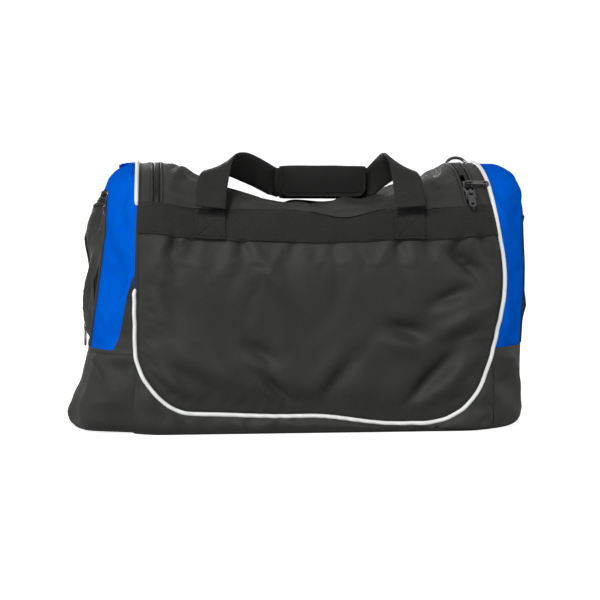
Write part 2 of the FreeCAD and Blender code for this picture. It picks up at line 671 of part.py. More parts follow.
def zip_slider(label, base, travel, normal, crown_turn):
    """Slider round both coils: two plates, a middle post and a bridge that holds the pull.

    Local frame: x along the travel, z out of the bag, origin on the skin.
    """
    top = block(label + "_top", ("-slider_length / 2", "-slider_width / 2", "slider_lift"),
                ("slider_length / 2", "slider_width / 2", "slider_lift + slider_plate"))
    bottom = block(label + "_bottom",
                   ("-slider_length / 2", "-slider_width / 2", "-slider_drop - slider_plate"),
                   ("slider_length / 2", "slider_width / 2", "-slider_drop"))
    post = block(label + "_post", ("slider_length / 2 - 4", "-slider_post / 2", "-slider_drop - 0.1"),
                 ("slider_length / 2", "slider_post / 2", "slider_lift + 0.1"))
    bridge = doc.addObject("Part::Box", label + "_bridge")
    bind(bridge, Length="crown_lift * 2.4", Width="slider_post * 2", Height="crown_lift + 1")
    spin = Rotation(Vector(0, 0, 1), crown_turn)
    foot = Vector(0, 0, value("slider_lift") + value("slider_plate") - 0.1)
    corner = Vector(value("crown_lift") * 1.2, value("slider_post"), 0)
    bridge.Placement = Placement(foot - spin.multVec(corner), spin)
    pin_height = slider_pin_height()
    across = spin.multVec(Vector(0, value("slider_width"), 0))
    centre = Vector(0, 0, pin_height)
    eye = rod(label + "_eye", "pin_radius + 0.5", tuple(centre - across), tuple(centre + across))
    solid = cut(label, union(label + "_solid", [top, bottom, post, bridge]), eye)
    return place(part(solid, label), base, travel, normal)


def slider_pin_height():
    """Height of the pull's pin above the skin."""
    return value("slider_lift") + value("slider_plate") + value("crown_lift") / 2 + 0.4


def zip_pull(label, pin, along, normal):
    """Pull tab: a pin through the slider's bridge, two cheeks and a rounded tab with a hole.

    Local frame: origin at the middle of the pin, x towards the free end, y along the pin.
    """
    half = value("pull_width") / 2
    start = value("pin_radius") + 5
    shaft = rod(label + "_pin", "pin_radius", (0, -half + 0.2, 0), (0, half - 0.2, 0))
    cheeks = []
    for name, sign in (("front", -1), ("back", 1)):
        low = sorted((sign * (half - 1.6), sign * half))
        cheeks.append(block(f"{label}_{name}_cheek", (-1.1, low[0], "-pull_thick / 2"),
                            (start + 1, low[1], "pull_thick / 2")))
    tab = rounded_block(label + "_tab", (start, "-pull_width / 2", "-pull_thick / 2"),
                        ("pull_length", "pull_width / 2", "pull_thick / 2"),
                        "pull_width / 2 - 0.2",
                        lambda edge: edge.BoundBox.ZLength > 1 and edge.BoundBox.XMin > 20)
    hole = rod(label + "_hole", "pull_width / 4", (value("pull_length") - 5.5, 0, -5),
               (value("pull_length") - 5.5, 0, 5))
    solid = cut(label, union(label + "_solid", [shaft, tab] + cheeks), hole)
    return place(part(solid, label), pin, along, normal)


crown_centre = value("crown_height") - value("crown_radius")
zip_x = value("lid_half") - value("tape_width") - value("tape_gap") / 2


def on_arch(angle, lift):
    """Point over the right-hand run of the main zip, angle degrees forward of the crown."""
    turn = math.radians(angle)
    reach = value("crown_radius") + lift
    return (zip_x, -reach * math.sin(turn), crown_centre + reach * math.cos(turn))


def arch_frame(angle):
    """Travel direction to the rear and outward direction on the arch."""
    turn = math.radians(angle)
    return (0, math.cos(turn), math.sin(turn)), (0, -math.sin(turn), math.cos(turn))


SLIDER_A_ANGLE = 35.9
SLIDER_B_ANGLE = 30.4
PULL_A_DROP = 43
for label, angle, crown_turn in (("main_slider_a", SLIDER_A_ANGLE, 0), ("main_slider_b", SLIDER_B_ANGLE, 90)):
    travel, outward = arch_frame(angle)
    zip_slider(label, on_arch(angle, 0), travel, outward, crown_turn)
drop = math.radians(PULL_A_DROP)
zip_pull("main_pull_a", on_arch(SLIDER_A_ANGLE, slider_pin_height()),
         (0, -math.cos(drop), -math.sin(drop)), (0, -math.sin(drop), math.cos(drop)))
zip_pull("main_pull_b", on_arch(SLIDER_B_ANGLE, slider_pin_height()),
         (1, 0, -0.02), arch_frame(SLIDER_B_ANGLE)[1])


def pocket_slider(word, side):
    """Slider and pull at the foot of the rear leg of an end pocket's zip."""
    corner = value("corner_round")
    y = value("pocket_back") - value("tape_width") - value("pocket_gap") / 2
    turn = math.asin((y - value("bag_depth") / 2 + corner) / corner)
    x = side * (value("bag_length") / 2 - corner + corner * math.cos(turn))
    outward = (side * math.cos(turn), math.sin(turn), 0)
    z = value("gusset_low") + 12
    zip_slider(word + "_pocket_slider", (x, y, z), (0, 0, 1), outward, 0)
    reach = slider_pin_height()
    pin = (x + outward[0] * reach, y + outward[1] * reach, z)
    zip_pull(word + "_pocket_pull", pin, (outward[0] * 0.03, outward[1] * 0.03, -1), outward)


pocket_slider("left", -1)
pocket_slider("right", +1)


# ---------------------------------------------------------------- checks and export

doc.recompute()
for item in doc.Objects:
    if {"Invalid", "Error"} & set(item.State):
        raise RuntimeError(f"{item.Name} did not compute: {item.State}")
for item in PARTS:
    if item.Shape.isNull() or not item.Shape.isValid() or item.Shape.Volume < 1:
        raise RuntimeError(f"{item.Label} has no valid solid")

os.makedirs("parts", exist_ok=True)
for item in PARTS:
    item.Shape.exportStep(f"parts/{item.Label}.step")
print(len(PARTS), "sub-parts written")
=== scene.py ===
import bpy
import bmesh
import math
import numpy as np
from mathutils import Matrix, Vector


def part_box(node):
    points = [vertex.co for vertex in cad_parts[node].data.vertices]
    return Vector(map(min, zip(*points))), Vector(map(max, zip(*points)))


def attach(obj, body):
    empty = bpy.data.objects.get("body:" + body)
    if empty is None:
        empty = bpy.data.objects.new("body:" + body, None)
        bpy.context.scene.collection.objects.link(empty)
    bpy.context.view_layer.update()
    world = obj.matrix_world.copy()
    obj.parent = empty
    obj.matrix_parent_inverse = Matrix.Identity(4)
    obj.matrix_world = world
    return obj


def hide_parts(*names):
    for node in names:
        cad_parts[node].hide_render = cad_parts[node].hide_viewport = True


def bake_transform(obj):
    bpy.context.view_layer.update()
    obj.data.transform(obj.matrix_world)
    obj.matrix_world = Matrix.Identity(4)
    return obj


# Soft duffel bag, metres, in the CAD frame: +X the right-hand end, -Y the front, +Z up.

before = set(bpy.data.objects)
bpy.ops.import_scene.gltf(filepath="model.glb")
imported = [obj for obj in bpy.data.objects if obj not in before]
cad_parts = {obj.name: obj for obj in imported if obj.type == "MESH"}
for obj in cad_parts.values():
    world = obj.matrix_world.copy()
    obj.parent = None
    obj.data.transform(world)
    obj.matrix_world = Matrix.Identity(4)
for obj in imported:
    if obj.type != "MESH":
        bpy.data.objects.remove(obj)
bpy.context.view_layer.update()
RANDOM = np.random.default_rng(11)

# ---------------------------------------------------------------- sizes, from the frame

BAG_X, BAG_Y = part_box("bottom_panel")[1].x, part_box("bottom_panel")[1].y
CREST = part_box("left_gusset")[1].z
GUSSET_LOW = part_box("left_gusset")[0].z
PIPE_RADIUS = 0.0025
PIPE_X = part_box("piping")[1].x - PIPE_RADIUS
PIPE_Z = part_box("piping")[0].z + PIPE_RADIUS
PIPE_CORNER = 0.090
FRONT_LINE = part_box("front_panel")[1].y * -1
LID_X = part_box("main_zip_tape")[1].x
LID_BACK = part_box("main_zip_tape")[1].y
LID_CORNER = 0.045
BELT_LOW, BELT_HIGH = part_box("front_band")[0].z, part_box("front_band")[1].z
POCKET_FRONT, POCKET_BACK = -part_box("left_pocket_zip")[0].y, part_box("left_pocket_zip")[1].y
POCKET_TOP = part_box("left_pocket_zip")[1].z
POCKET_CORNER = 0.060
TAPE = 0.006
LID_GAP = 0.002
POCKET_GAP = 0.0045
STRIP_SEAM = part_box("rear_top_strip")[0].y
HANDLE_X = 0.125
WEBBING = 0.038
HANDLE_THICK, STRAP_THICK = 0.0028, 0.0024
BELT_THICK, FOOT_THICK = 0.0019, 0.0022
THIN_CLOTH = 0.0008      # tapes, linings and facings

CORNER = 0.095
EDGE = 0.030
BASE_EDGE = 0.012
ARCH_R = 0.221
ARCH_Z = CREST - ARCH_R
SADDLE_R, SADDLE_X = 0.330, 0.012
SADDLE_Z = 0.284 + SADDLE_R
MIDDLE = 0.200           # height that the rays through the upper skin start from
HUB = 0.190              # x that the rays through the ends start from
ENDS = (("left", -1), ("right", 1))
WALLS = (("front", -1), ("rear", 1))


# ---------------------------------------------------------------- the plain filled form

def smooth(start, end, value):
    """0 before start, 1 after end, with a soft change between."""
    t = np.clip((value - start) / (end - start), 0, 1)
    return t * t * (3 - 2 * t)


def hump(centre, half, value):
    """1 at centre, falling softly to 0 at half away."""
    return smooth(1, 0, np.abs(value - centre) / half)


def meet(a, b, radius):
    """Where two solids share space, with a rounded edge."""
    corner = np.hypot(np.maximum(a + radius, 0), np.maximum(b + radius, 0))
    return np.minimum(np.maximum(a, b), -radius) + corner


def form(p):
    """Below 0 inside the filled bag: a D-shaped prism, rounded, with a saddle in its top."""
    x, y, z = p[..., 0], p[..., 1], p[..., 2]
    qx = np.abs(x) - (BAG_X - CORNER)
    qy = np.abs(y) - (BAG_Y - CORNER)
    plan = np.hypot(np.maximum(qx, 0), np.maximum(qy, 0)) + np.minimum(np.maximum(qx, qy), 0) - CORNER
    arch = np.hypot(y, z - ARCH_Z) - ARCH_R
    saddle = SADDLE_R - np.hypot(x - SADDLE_X, z - SADDLE_Z)
    return meet(meet(meet(plan, arch, EDGE), -z, BASE_EDGE), saddle, 0.004)


def points(x, y, z):
    """Points as one array, from numbers and arrays."""
    return np.stack(np.broadcast_arrays(np.asarray(x, float), y, z), axis=-1)


def cast(centre, target):
    """Where rays from centre through target leave the form."""
    centre, target = np.broadcast_arrays(centre, target)
    ray = target - centre
    ray = ray / np.linalg.norm(ray, axis=-1, keepdims=True)
    near, far = np.zeros(ray.shape[:-1]), np.full(ray.shape[:-1], 0.6)
    for _ in range(30):
        half = (near + far) / 2
        inside = form(centre + ray * half[..., None]) < 0
        near, far = np.where(inside, half, near), np.where(inside, far, half)
    return centre + ray * near[..., None]


def outward(p):
    """Unit normal of the form."""
    step = 0.0006
    slope = [form(p + step * axis) - form(p - step * axis) for axis in np.eye(3)]
    n = np.stack(slope, axis=-1)
    return n / np.maximum(np.linalg.norm(n, axis=-1, keepdims=True), 1e-9)


def on_wall(x, z, side):
    """Point of the front (side -1) or rear (side 1) wall at x and z."""
    target = points(x, side, z)
    return cast(points(target[..., 0], 0, target[..., 2]), target)


def on_top(x, y):
    """Point of the top straight above x and y."""
    target = points(x, y, 1)
    return cast(points(target[..., 0], target[..., 1], 0.15), target)


def on_end(y, z, side):
    """Point of the left (side -1) or right (side 1) end at y and z."""
    target = points(side, y, z)
    return cast(points(side * HUB, target[..., 1], target[..., 2]), target)


# ---------------------------------------------------------------- how the filled bag settles

LATTICE = RANDOM.uniform(-1, 1, (24, 24, 24))


def rough(p, scale):
    """Smooth seeded noise with features of that size; scale may differ along each axis."""
    q = p / scale
    cell = np.floor(q).astype(int)
    t = q - cell
    t = t * t * (3 - 2 * t)
    total = 0
    for corner in np.ndindex(2, 2, 2):
        weight = np.prod(np.where(np.array(corner) == 1, t, 1 - t), axis=-1)
        index = (cell + corner) % 24
        total = total + weight * LATTICE[index[..., 0], index[..., 1], index[..., 2]]
    return total


def crease(x, z, start, end, width, height):
    """A soft ridge (height above 0) or groove along a line in a wall's x and z."""
    (x0, z0), (x1, z1) = start, end
    length = math.hypot(x1 - x0, z1 - z0)
    along = ((x - x0) * (x1 - x0) + (z - z0) * (z1 - z0)) / length ** 2
    aside = ((x - x0) * (z1 - z0) - (z - z0) * (x1 - x0)) / length
    fade = hump(0.5, 0.62, along)
    ridge = np.exp(-(aside / width) ** 2)
    beside = np.exp(-((aside - 1.7 * width) / width) ** 2)
    return height * fade * (ridge - 0.45 * beside)


# Folds of the front as (start, end, width, height); start and end are x and z.
FRONT_FOLDS = [
    ((-0.066, 0.082), (-0.012, 0.028), 0.007, -0.0042),
    ((0.168, 0.236), (0.208, 0.186), 0.009, -0.0050),
    ((0.148, 0.118), (0.226, 0.172), 0.011, 0.0045),
    ((0.110, 0.034), (0.188, 0.112), 0.010, -0.0052),
    ((0.140, 0.156), (0.200, 0.190), 0.008, -0.0034),
    ((-0.088, 0.120), (-0.036, 0.090), 0.010, -0.0034),
    ((-0.205, 0.205), (-0.160, 0.140), 0.012, -0.0014),
    ((-0.190, 0.120), (-0.090, 0.060), 0.013, 0.0032),
    ((0.085, 0.140), (0.155, 0.122), 0.011, -0.0050),
    ((-0.060, 0.215), (-0.020, 0.170), 0.012, 0.0018),
    ((0.060, 0.110), (0.010, 0.035), 0.011, -0.0028),
    ((0.205, 0.105), (0.165, 0.045), 0.009, 0.0030),
    ((-0.200, 0.085), (-0.150, 0.040), 0.009, 0.0028),
]
FOLD_GAIN = 1.5          # how much deeper the front's folds get after the cloth has settled
# Pleats that start under the belt, as (x, lean of the pleat, depth).
PLEATS = [
    (-0.176, 0.10, 0.0046), (-0.148, -0.15, 0.0026), (-0.087, 0.25, 0.0040), (-0.020, -0.20, 0.0018),
    (0.030, 0.10, 0.0016), (0.113, -0.30, 0.0044), (0.146, 0.20, 0.0026), (0.184, -0.25, 0.0046),
    (0.206, 0.15, 0.0036),
]
PLEAT_GAIN = 1.5
# Folds across the lid, as (x, lean of the fold, height).
LID_FOLDS = [(-0.13, 0.5, 0.004), (-0.03, -0.4, -0.004), (0.07, 0.35, 0.0045), (0.14, -0.5, -0.0035)]
LID_FOLD_GAIN = 1.4


def outline_distance(x, z):
    """Distance in a wall's x and z from the piping's line, above 0 inside it."""
    qx = np.abs(x) - (PIPE_X - PIPE_CORNER)
    qz = (PIPE_Z + PIPE_CORNER) - z
    gap = np.hypot(np.maximum(qx, 0), np.maximum(qz, 0)) + np.minimum(np.maximum(qx, qz), 0)
    return PIPE_CORNER - gap


def wall_relief(p, side):
    """Folds, pleats and the filled belly of the front or rear wall."""
    x, z = p[..., 0] * -side, p[..., 2]
    inside = outline_distance(x, z)
    free = smooth(0.002, 0.050, inside) * smooth(BELT_LOW + 0.004, BELT_LOW - 0.030, z)
    height = 0.0085 * free * (1 - (x / 0.26) ** 2)
    for start, end, width, rise in FRONT_FOLDS:
        height = height + free * crease(x, z, start, end, width, rise)
    below = BELT_LOW - z
    for place, lean, depth in PLEATS:
        middle = place + lean * below
        reach = np.exp(-np.maximum(below, 0) / 0.030) * smooth(-0.004, 0.006, below)
        across = (x - middle) / (0.006 + 0.20 * np.maximum(below, 0))
        ridges = np.exp(-((np.abs(across) - 1.9) ** 2))
        height = height + PLEAT_GAIN * depth * reach * (0.5 * ridges - np.exp(-across ** 2))
    # The cloth puckers along the sewn line and is drawn in next to it.
    beside = np.abs(inside)
    around = np.arctan2(x, z - 0.15) * 0.20
    ripple = np.sin(around / 0.0036 + 3 * rough(p, 0.05))
    pucker = ripple * np.exp(-beside / 0.013) * (0.55 + 0.6 * rough(p, 0.04))
    height = height + 0.0013 * pucker * smooth(0.20, 0.12, z)
    height = height - 0.0022 * np.exp(-(beside / 0.006) ** 2)
    # Below the piping the strip bulges between it and the floor.
    strip = smooth(0.0, -0.012, inside) * smooth(0.0, 0.012, z)
    slant = points(x + 0.8 * z, 0 * x, z - 0.5 * x)
    height = height + strip * (0.0012 + 0.0034 * (1 - 2 * np.abs(rough(slant + 0.6, 0.030))))
    return height


def top_relief(p):
    """Loose cloth of the lid and the flatter strips round it."""
    x, y = p[..., 0], p[..., 1]
    lid = smooth(LID_X - 0.018, LID_X - 0.055, np.abs(x)) * smooth(LID_BACK - 0.016, LID_BACK - 0.055, y)
    slack = rough(p * (1, 0.45, 1) + 0.3, 0.050) + 0.5 * rough(p + 0.7, 0.024)
    folds = 0.0046 * slack * lid
    for place, lean, rise in LID_FOLDS:
        ridge = np.exp(-((x - (place + lean * y)) / 0.012) ** 2)
        folds = folds + LID_FOLD_GAIN * rise * lid * ridge * smooth(0.12, 0.02, np.abs(y + 0.02))
    return folds - 0.003 * lid


def end_relief(p):
    """Upright folds of the blue ends and soft creases in the black corners."""
    x, y, z = p[..., 0], p[..., 1], p[..., 2]
    blue = smooth(GUSSET_LOW, GUSSET_LOW + 0.02, z) * smooth(0.33, 0.27, z)
    turn = np.arctan2(y, np.abs(x) - 0.16)
    valley = np.sin(turn * 5.2 + 2.4 * z / 0.1 + 2 * np.sign(x))
    folds = 0.0048 * (1 - 2 * np.abs(valley)) * blue
    low_left = hump(0.170, 0.085, z) * smooth(-0.05, -0.08, y) * smooth(0, -0.1, x)
    aside = (x + 0.240 + 0.27 * (0.226 - z)) / 0.0075
    folds = folds - 0.0058 * low_left * np.exp(-aside ** 2)
    high_left = hump(0.272, 0.040, z) * smooth(-0.05, -0.08, y) * smooth(0, -0.1, x)
    aside = (x + 0.262 - 0.35 * (0.272 - z)) / 0.0065
    folds = folds - 0.0042 * high_left * np.exp(-aside ** 2)
    low = smooth(GUSSET_LOW + 0.004, GUSSET_LOW - 0.014, z) * smooth(0, 0.020, z)
    slant = points(x + 0.5 * z, y - 0.6 * z, 0.55 * z)
    ridges = 1 - 2 * np.abs(rough(slant + 0.2, 0.034))
    hinge = smooth(0.110, 0.082, np.abs(y)) * smooth(GUSSET_LOW - 0.088, GUSSET_LOW - 0.040, z)
    folds = folds + low * (1 - hinge) * (0.0030 + 0.0066 * ridges + 0.0032 * rough(p + 0.4, 0.024))
    seam = np.exp(-((z - GUSSET_LOW) / 0.005) ** 2)
    mouth = pocket_distance(y, z)
    away = smooth(0.004, 0.022, np.abs(mouth + 0.004))
    pocket = smooth(0.012, 0.06, mouth) * smooth(GUSSET_LOW, GUSSET_LOW + 0.035, z)
    folds = folds * away + pocket * (0.0026 + 0.0012 * rough(p * (1, 1, 0.5), 0.06))
    return folds - 0.0016 * seam * away


def pocket_distance(y, z):
    """Distance in an end's y and z from the pocket's outline, above 0 inside it."""
    middle = (POCKET_BACK - POCKET_FRONT) / 2
    half = (POCKET_BACK + POCKET_FRONT) / 2
    qy = np.abs(y - middle) - (half - POCKET_CORNER)
    qz = z - (POCKET_TOP - POCKET_CORNER)
    gap = np.hypot(np.maximum(qy, 0), np.maximum(qz, 0)) + np.minimum(np.maximum(qy, qz), 0)
    return POCKET_CORNER - gap


def relief(p, n):
    """How far the skin stands out from the plain form."""
    x, z = p[..., 0], p[..., 2]
    beyond = smooth(PIPE_X - 0.004, PIPE_X + 0.012, np.abs(x))
    front = smooth(0.35, 0.85, -n[..., 1]) * (1 - beyond) * smooth(0.30, 0.27, z)
    rear = smooth(0.35, 0.85, n[..., 1]) * (1 - beyond) * smooth(0.30, 0.27, z)
    top = smooth(0.30, 0.80, n[..., 2]) * (1 - beyond) * smooth(0.25, 0.28, z)
    ends = beyond * smooth(0.9, 0.5, n[..., 2])
    walls = front * wall_relief(p, -1) + rear * wall_relief(p, 1)
    uneven = 0.0005 * rough(p, 0.021) * smooth(0.002, 0.02, z)
    return walls + top * top_relief(p) + ends * end_relief(p) + uneven


def settle(p):
    """The bag leans and slumps a little on its base; the hardware's places stay where they are."""
    x, y, z = p[..., 0], p[..., 1], p[..., 2]
    out = p.copy()
    forward = smooth(0.050, -0.010, y)
    high = smooth(0.222, 0.345, z)
    near_end = smooth(0.236, 0.262, np.abs(x))
    freedom = np.maximum(forward, high * near_end)
    left = smooth(-0.140, -0.225, x)
    at_piping = 0.013 + 0.004 * smooth(0.20, 0.30, z)
    at_end = np.minimum(-0.010 + 0.140 * z, -0.020 + 0.240 * z)
    left_shift = at_piping + (at_end - at_piping) * near_end
    right = smooth(0.140, 0.225, x) * (1 - 0.75 * near_end)
    right_shift = 0.017 * hump(0.190, 0.115, z)
    shift = left * left_shift * freedom + right * right_shift * forward
    low = hump(PIPE_Z, 0.095, z) * smooth(-0.02, -0.10, y)
    drop = (-0.011 * smooth(0.0, 0.110, x) + 0.004 * smooth(-0.03, -0.15, x)) * smooth(0.004, 0.02, z)
    rise = 0.014 * smooth(0.110, 0.225, -x) + 0.008 * smooth(0.145, 0.225, x) - 0.004 * hump(0.02, 0.09, x)
    near_belt = hump((BELT_LOW + BELT_HIGH) / 2, 0.055, z)
    belt = near_belt * smooth(-0.10, -0.135, y) * smooth(0.262, 0.238, np.abs(x))
    out[..., 0] = x + shift
    out[..., 2] = z + drop * low * smooth(0.262, 0.20, np.abs(x)) + rise * belt
    out[..., 2] = np.maximum(out[..., 2], 0.0004)
    return out


def dress(p, lift=0.0):
    """Where a point of the plain form lies on the filled bag, lift above the skin."""
    n = outward(p)
    return settle(p + n * np.asarray(relief(p, n) + lift)[..., None])


def deepen(p):
    """How far the large creases of the front and rear walls move the cloth once it has settled."""
    n = outward(p)
    x, z = p[..., 0], p[..., 2]
    side = np.sign(p[..., 1])
    x = -x * side
    free = smooth(0.002, 0.045, outline_distance(x, z)) * smooth(BELT_LOW + 0.004, BELT_LOW - 0.020, z)
    height = 0 * x
    for start, end, width, rise in FRONT_FOLDS:
        height = height + free * crease(x, z, start, end, width, FOLD_GAIN * rise)
    drape = rough(points(0.9 * x + 0.55 * z, 0 * x, 0.35 * (z - 0.6 * x)) + 0.31, 0.040)
    height = height + 0.0026 * free * (1 - 2 * np.abs(drape))
    return n * height[..., None]


# ---------------------------------------------------------------- meshes

def mesh_object(name, vertices, faces, uvs=None):
    """A smooth object from points, faces and one (u, v) in metres for each point."""
    mesh = bpy.data.meshes.new(name)
    mesh.from_pydata([tuple(v) for v in vertices], [], faces)
    if uvs is not None:
        layer = mesh.uv_layers.new(name="weave")
        corner = np.zeros(len(mesh.loops), int)
        mesh.loops.foreach_get("vertex_index", corner)
        layer.data.foreach_set("uv", np.asarray(uvs, float)[corner].astype(np.float32).ravel())
    mesh.polygons.foreach_set("use_smooth", [True] * len(mesh.polygons))
    mesh.update()
    obj = bpy.data.objects.new(name, mesh)
    bpy.context.scene.collection.objects.link(obj)
    return obj


def grid_faces(rows, columns, start=0, wrap=False):
    """Quads over a grid of points; wrap joins the last column to the first."""
    faces = []
    for r in range(rows - 1):
        for c in range(columns if wrap else columns - 1):
            after = (c + 1) % columns
            a, b = start + r * columns + c, start + r * columns + after
            faces.append((a, b, b + columns, a + columns))
    return faces


def tube_faces(rings, sides):
    """Faces of a closed tube of rings, with flat ends."""
    caps = [tuple(range(sides))[::-1], tuple(range((rings - 1) * sides, rings * sides))]
    return grid_faces(rings, sides, wrap=True) + caps


def flat_size(grid):
    """(u, v) in metres for each point of a grid, measured along its rows and columns."""
    u = np.zeros(grid.shape[:2])
    v = np.zeros(grid.shape[:2])
    u[:, 1:] = np.cumsum(np.linalg.norm(np.diff(grid, axis=1), axis=-1), axis=1)
    v[1:] = np.cumsum(np.linalg.norm(np.diff(grid, axis=0), axis=-1), axis=0)
    u -= u[:, [grid.shape[1] // 2]]
    return np.stack([u, v], axis=-1)


def finish_modifiers(obj):
    """Applies an object's modifiers to its mesh."""
    shown = obj.evaluated_get(bpy.context.evaluated_depsgraph_get())
    mesh = bpy.data.meshes.new_from_object(shown)
    obj.modifiers.clear()
    obj.data = mesh
    return obj


def sheet_object(name, patches, thickness, outside=True, keep=None):
    """Cloth of a real thickness over one or more grids of points that meet along their edges."""
    vertices, faces, uvs = [], [], []
    for grid in patches:
        first = sum(len(v) for v in vertices)
        faces += grid_faces(*grid.shape[:2], start=first)
        vertices.append(grid.reshape(-1, 3))
        uvs.append(flat_size(grid).reshape(-1, 2))
    vertices = np.concatenate(vertices)
    if keep is not None:
        faces = [f for f in faces if keep(vertices[list(f)].mean(0))]
    corners = vertices[np.array(faces)]
    facing = np.cross(corners[:, 2] - corners[:, 0], corners[:, 3] - corners[:, 1])
    middle = corners.mean(1)
    if np.sum(facing * (middle - (0, 0, 0.15))) < 0:
        faces = [f[::-1] for f in faces]
    obj = mesh_object(name, vertices, faces, np.concatenate(uvs))
    if len(patches) > 1:
        weld = obj.modifiers.new("weld", "WELD")
        weld.merge_threshold = 0.00015
        finish_modifiers(obj)
    obj["thickness"] = thickness if outside else -thickness
    return obj


def thicken(obj):
    """Gives cloth its thickness."""
    solid = obj.modifiers.new("solid", "SOLIDIFY")
    solid.thickness = abs(obj["thickness"])
    solid.offset = 1 if obj["thickness"] > 0 else -1
    solid.use_even_offset = False
    finish_modifiers(obj)
    obj.data.set_sharp_from_angle(angle=math.radians(50))
    return obj


def loft(start, end, count, centre, ease=None):
    """Rows of skin points from one curve to another, both on the form."""
    steps = np.linspace(0, 1, count) if ease is None else ease(np.linspace(0, 1, count))
    rows = []
    for k in steps:
        target = start + (end - start) * k
        rows.append(cast(centre(target), target))
    return np.stack(rows)


def lengths(path):
    """Distance along a path at each of its points."""
    return np.concatenate([[0], np.cumsum(np.linalg.norm(np.diff(path, axis=0), axis=1))])


def resample(path, count, length=None):
    """That many points of a path, evenly spaced by length (by default the path's own)."""
    length = lengths(path) if length is None else length
    wanted = np.linspace(0, length[-1], count)
    return np.stack([np.interp(wanted, length, column) for column in path.T], axis=1)


def even(path, spacing):
    """The same path with points at about that spacing."""
    return resample(path, max(int(round(lengths(path)[-1] / spacing)), 2) + 1)


def sweep(name, centre, across, face, profile):
    """A profile of (across, face) offsets carried along a path, with flat ends."""
    rings = np.stack([centre + a * across + f * face for a, f in profile], axis=1)
    count, sides = rings.shape[:2]
    along, girth = lengths(centre), lengths(np.array(profile))
    uvs = np.stack(np.broadcast_arrays(along[:, None], girth[None, :]), axis=-1).reshape(-1, 2)
    faces = tube_faces(count, sides)
    obj = mesh_object(name, rings.reshape(-1, 3), faces, uvs)
    normals_outward(obj)
    return obj


def normals_outward(obj):
    """Turns every face of a closed mesh outwards."""
    work = bmesh.new()
    work.from_mesh(obj.data)
    bmesh.ops.recalc_face_normals(work, faces=work.faces)
    work.to_mesh(obj.data)
    work.free()
    obj.data.set_sharp_from_angle(angle=math.radians(50))


def flat_profile(width, thick, bow=0.0):
    """Cross-section of webbing: flat, with rounded selvedges and a slight bow."""
    outline = []
    steps = 7
    for k in range(steps):
        a = -width / 2 + thick / 2 + (width - thick) * k / (steps - 1)
        outline.append((a, thick / 2 + bow * (1 - (2 * a / width) ** 2)))
    outline.append((width / 2, bow * 0.05))
    for k in range(steps):
        a = width / 2 - thick / 2 - (width - thick) * k / (steps - 1)
        outline.append((a, -thick / 2 + bow * (1 - (2 * a / width) ** 2)))
    outline.append((-width / 2, bow * 0.05))
    return outline


def round_profile(radius, sides=10):
    """Circle."""
    turn = [2 * math.pi * k / sides for k in range(sides)]
    return [(radius * math.cos(t), radius * math.sin(t)) for t in turn]


def spline(stations, per_span):
    """Catmull-Rom curve through the stations."""
    stations = np.asarray(stations, float)
    padded = np.concatenate([[2 * stations[0] - stations[1]], stations, [2 * stations[-1] - stations[-2]]])
    result = []
    for k in range(1, len(padded) - 2):
        p0, p1, p2, p3 = padded[k - 1:k + 3]
        for t in np.arange(per_span) / per_span:
            result.append(0.5 * (2 * p1 + (p2 - p0) * t + (2 * p0 - 5 * p1 + 4 * p2 - p3) * t * t
                                 + (3 * p1 - p0 - 3 * p2 + p3) * t ** 3))
    return np.array(result + [stations[-1]])


def along_path(path):
    """Unit direction at each point of a path."""
    step = np.gradient(path, axis=0)
    return step / np.maximum(np.linalg.norm(step, axis=1, keepdims=True), 1e-12)


def unit(v):
    """The same directions with length 1."""
    return v / np.maximum(np.linalg.norm(v, axis=-1, keepdims=True), 1e-12)


def webbing(name, stations, width, thick, per_span=8, bow=0.0, spacing=0.004):
    """Loose webbing through stations of (centre, direction across its width)."""
    joined = np.array([tuple(c) + tuple(a) for c, a in stations], float)
    curve = spline(joined, per_span)
    length = lengths(curve[:, :3])
    curve = resample(curve, int(length[-1] / spacing), length)
    centre = curve[:, :3]
    along = along_path(centre)
    across = curve[:, 3:]
    across = unit(across - along * np.sum(across * along, axis=1, keepdims=True))
    face = np.cross(along, across)
    return sweep(name, centre, across, face, flat_profile(width, thick, bow))


def beads(name, starts, ends, ups, half_width, half_height):
    """Many small rounded bars, such as stitches or zip teeth, as one mesh."""
    starts, ends, ups = (np.asarray(a, float) for a in (starts, ends, ups))
    along = unit(ends - starts)
    side = unit(np.cross(along, ups))
    up = np.cross(side, along)
    ring = [(math.cos(t), math.sin(t)) for t in np.arange(6) * math.pi / 3]
    stations = ((0.0, 0.45), (0.18, 1.0), (0.82, 1.0), (1.0, 0.45))
    vertices, count = [], len(starts)
    for place, size in stations:
        middle = starts + (ends - starts) * place
        for c, s in ring:
            vertices.append(middle + side * (c * half_width * size) + up * (s * half_height * size))
    vertices = np.stack(vertices, axis=1)
    one = tube_faces(len(stations), 6)
    faces = [tuple(i + 24 * k for i in f) for k in range(count) for f in one]
    obj = mesh_object(name, vertices.reshape(-1, 3), faces, vertices.reshape(-1, 3)[:, :2])
    normals_outward(obj)
    return obj


STITCH, STITCH_GAP, STITCH_STEP = 0.0030, 0.0011, 0.001
STITCH_LIFT = 0.0003     # thread above the skin
BELT_LIFT, FOOT_LIFT = 0.0022, 0.0048          # thread on the belt and on the handle ends
THREAD_HALF, THREAD_RISE = 0.00042, 0.00034    # half width and half height of a stitch
SEWN = {}                # stitches by body, as lists of (start, end)


def sew(group, path):
    """Adds a row of stitches along a path of dressed points."""
    path = even(np.asarray(path, float), STITCH_STEP)
    step = int(round((STITCH + STITCH_GAP) / STITCH_STEP))
    size = int(round(STITCH / STITCH_STEP))
    rows = SEWN.setdefault(group, [])
    for k in range(0, len(path) - size, step):
        rows.append((path[k], path[k + size]))


# ---------------------------------------------------------------- materials

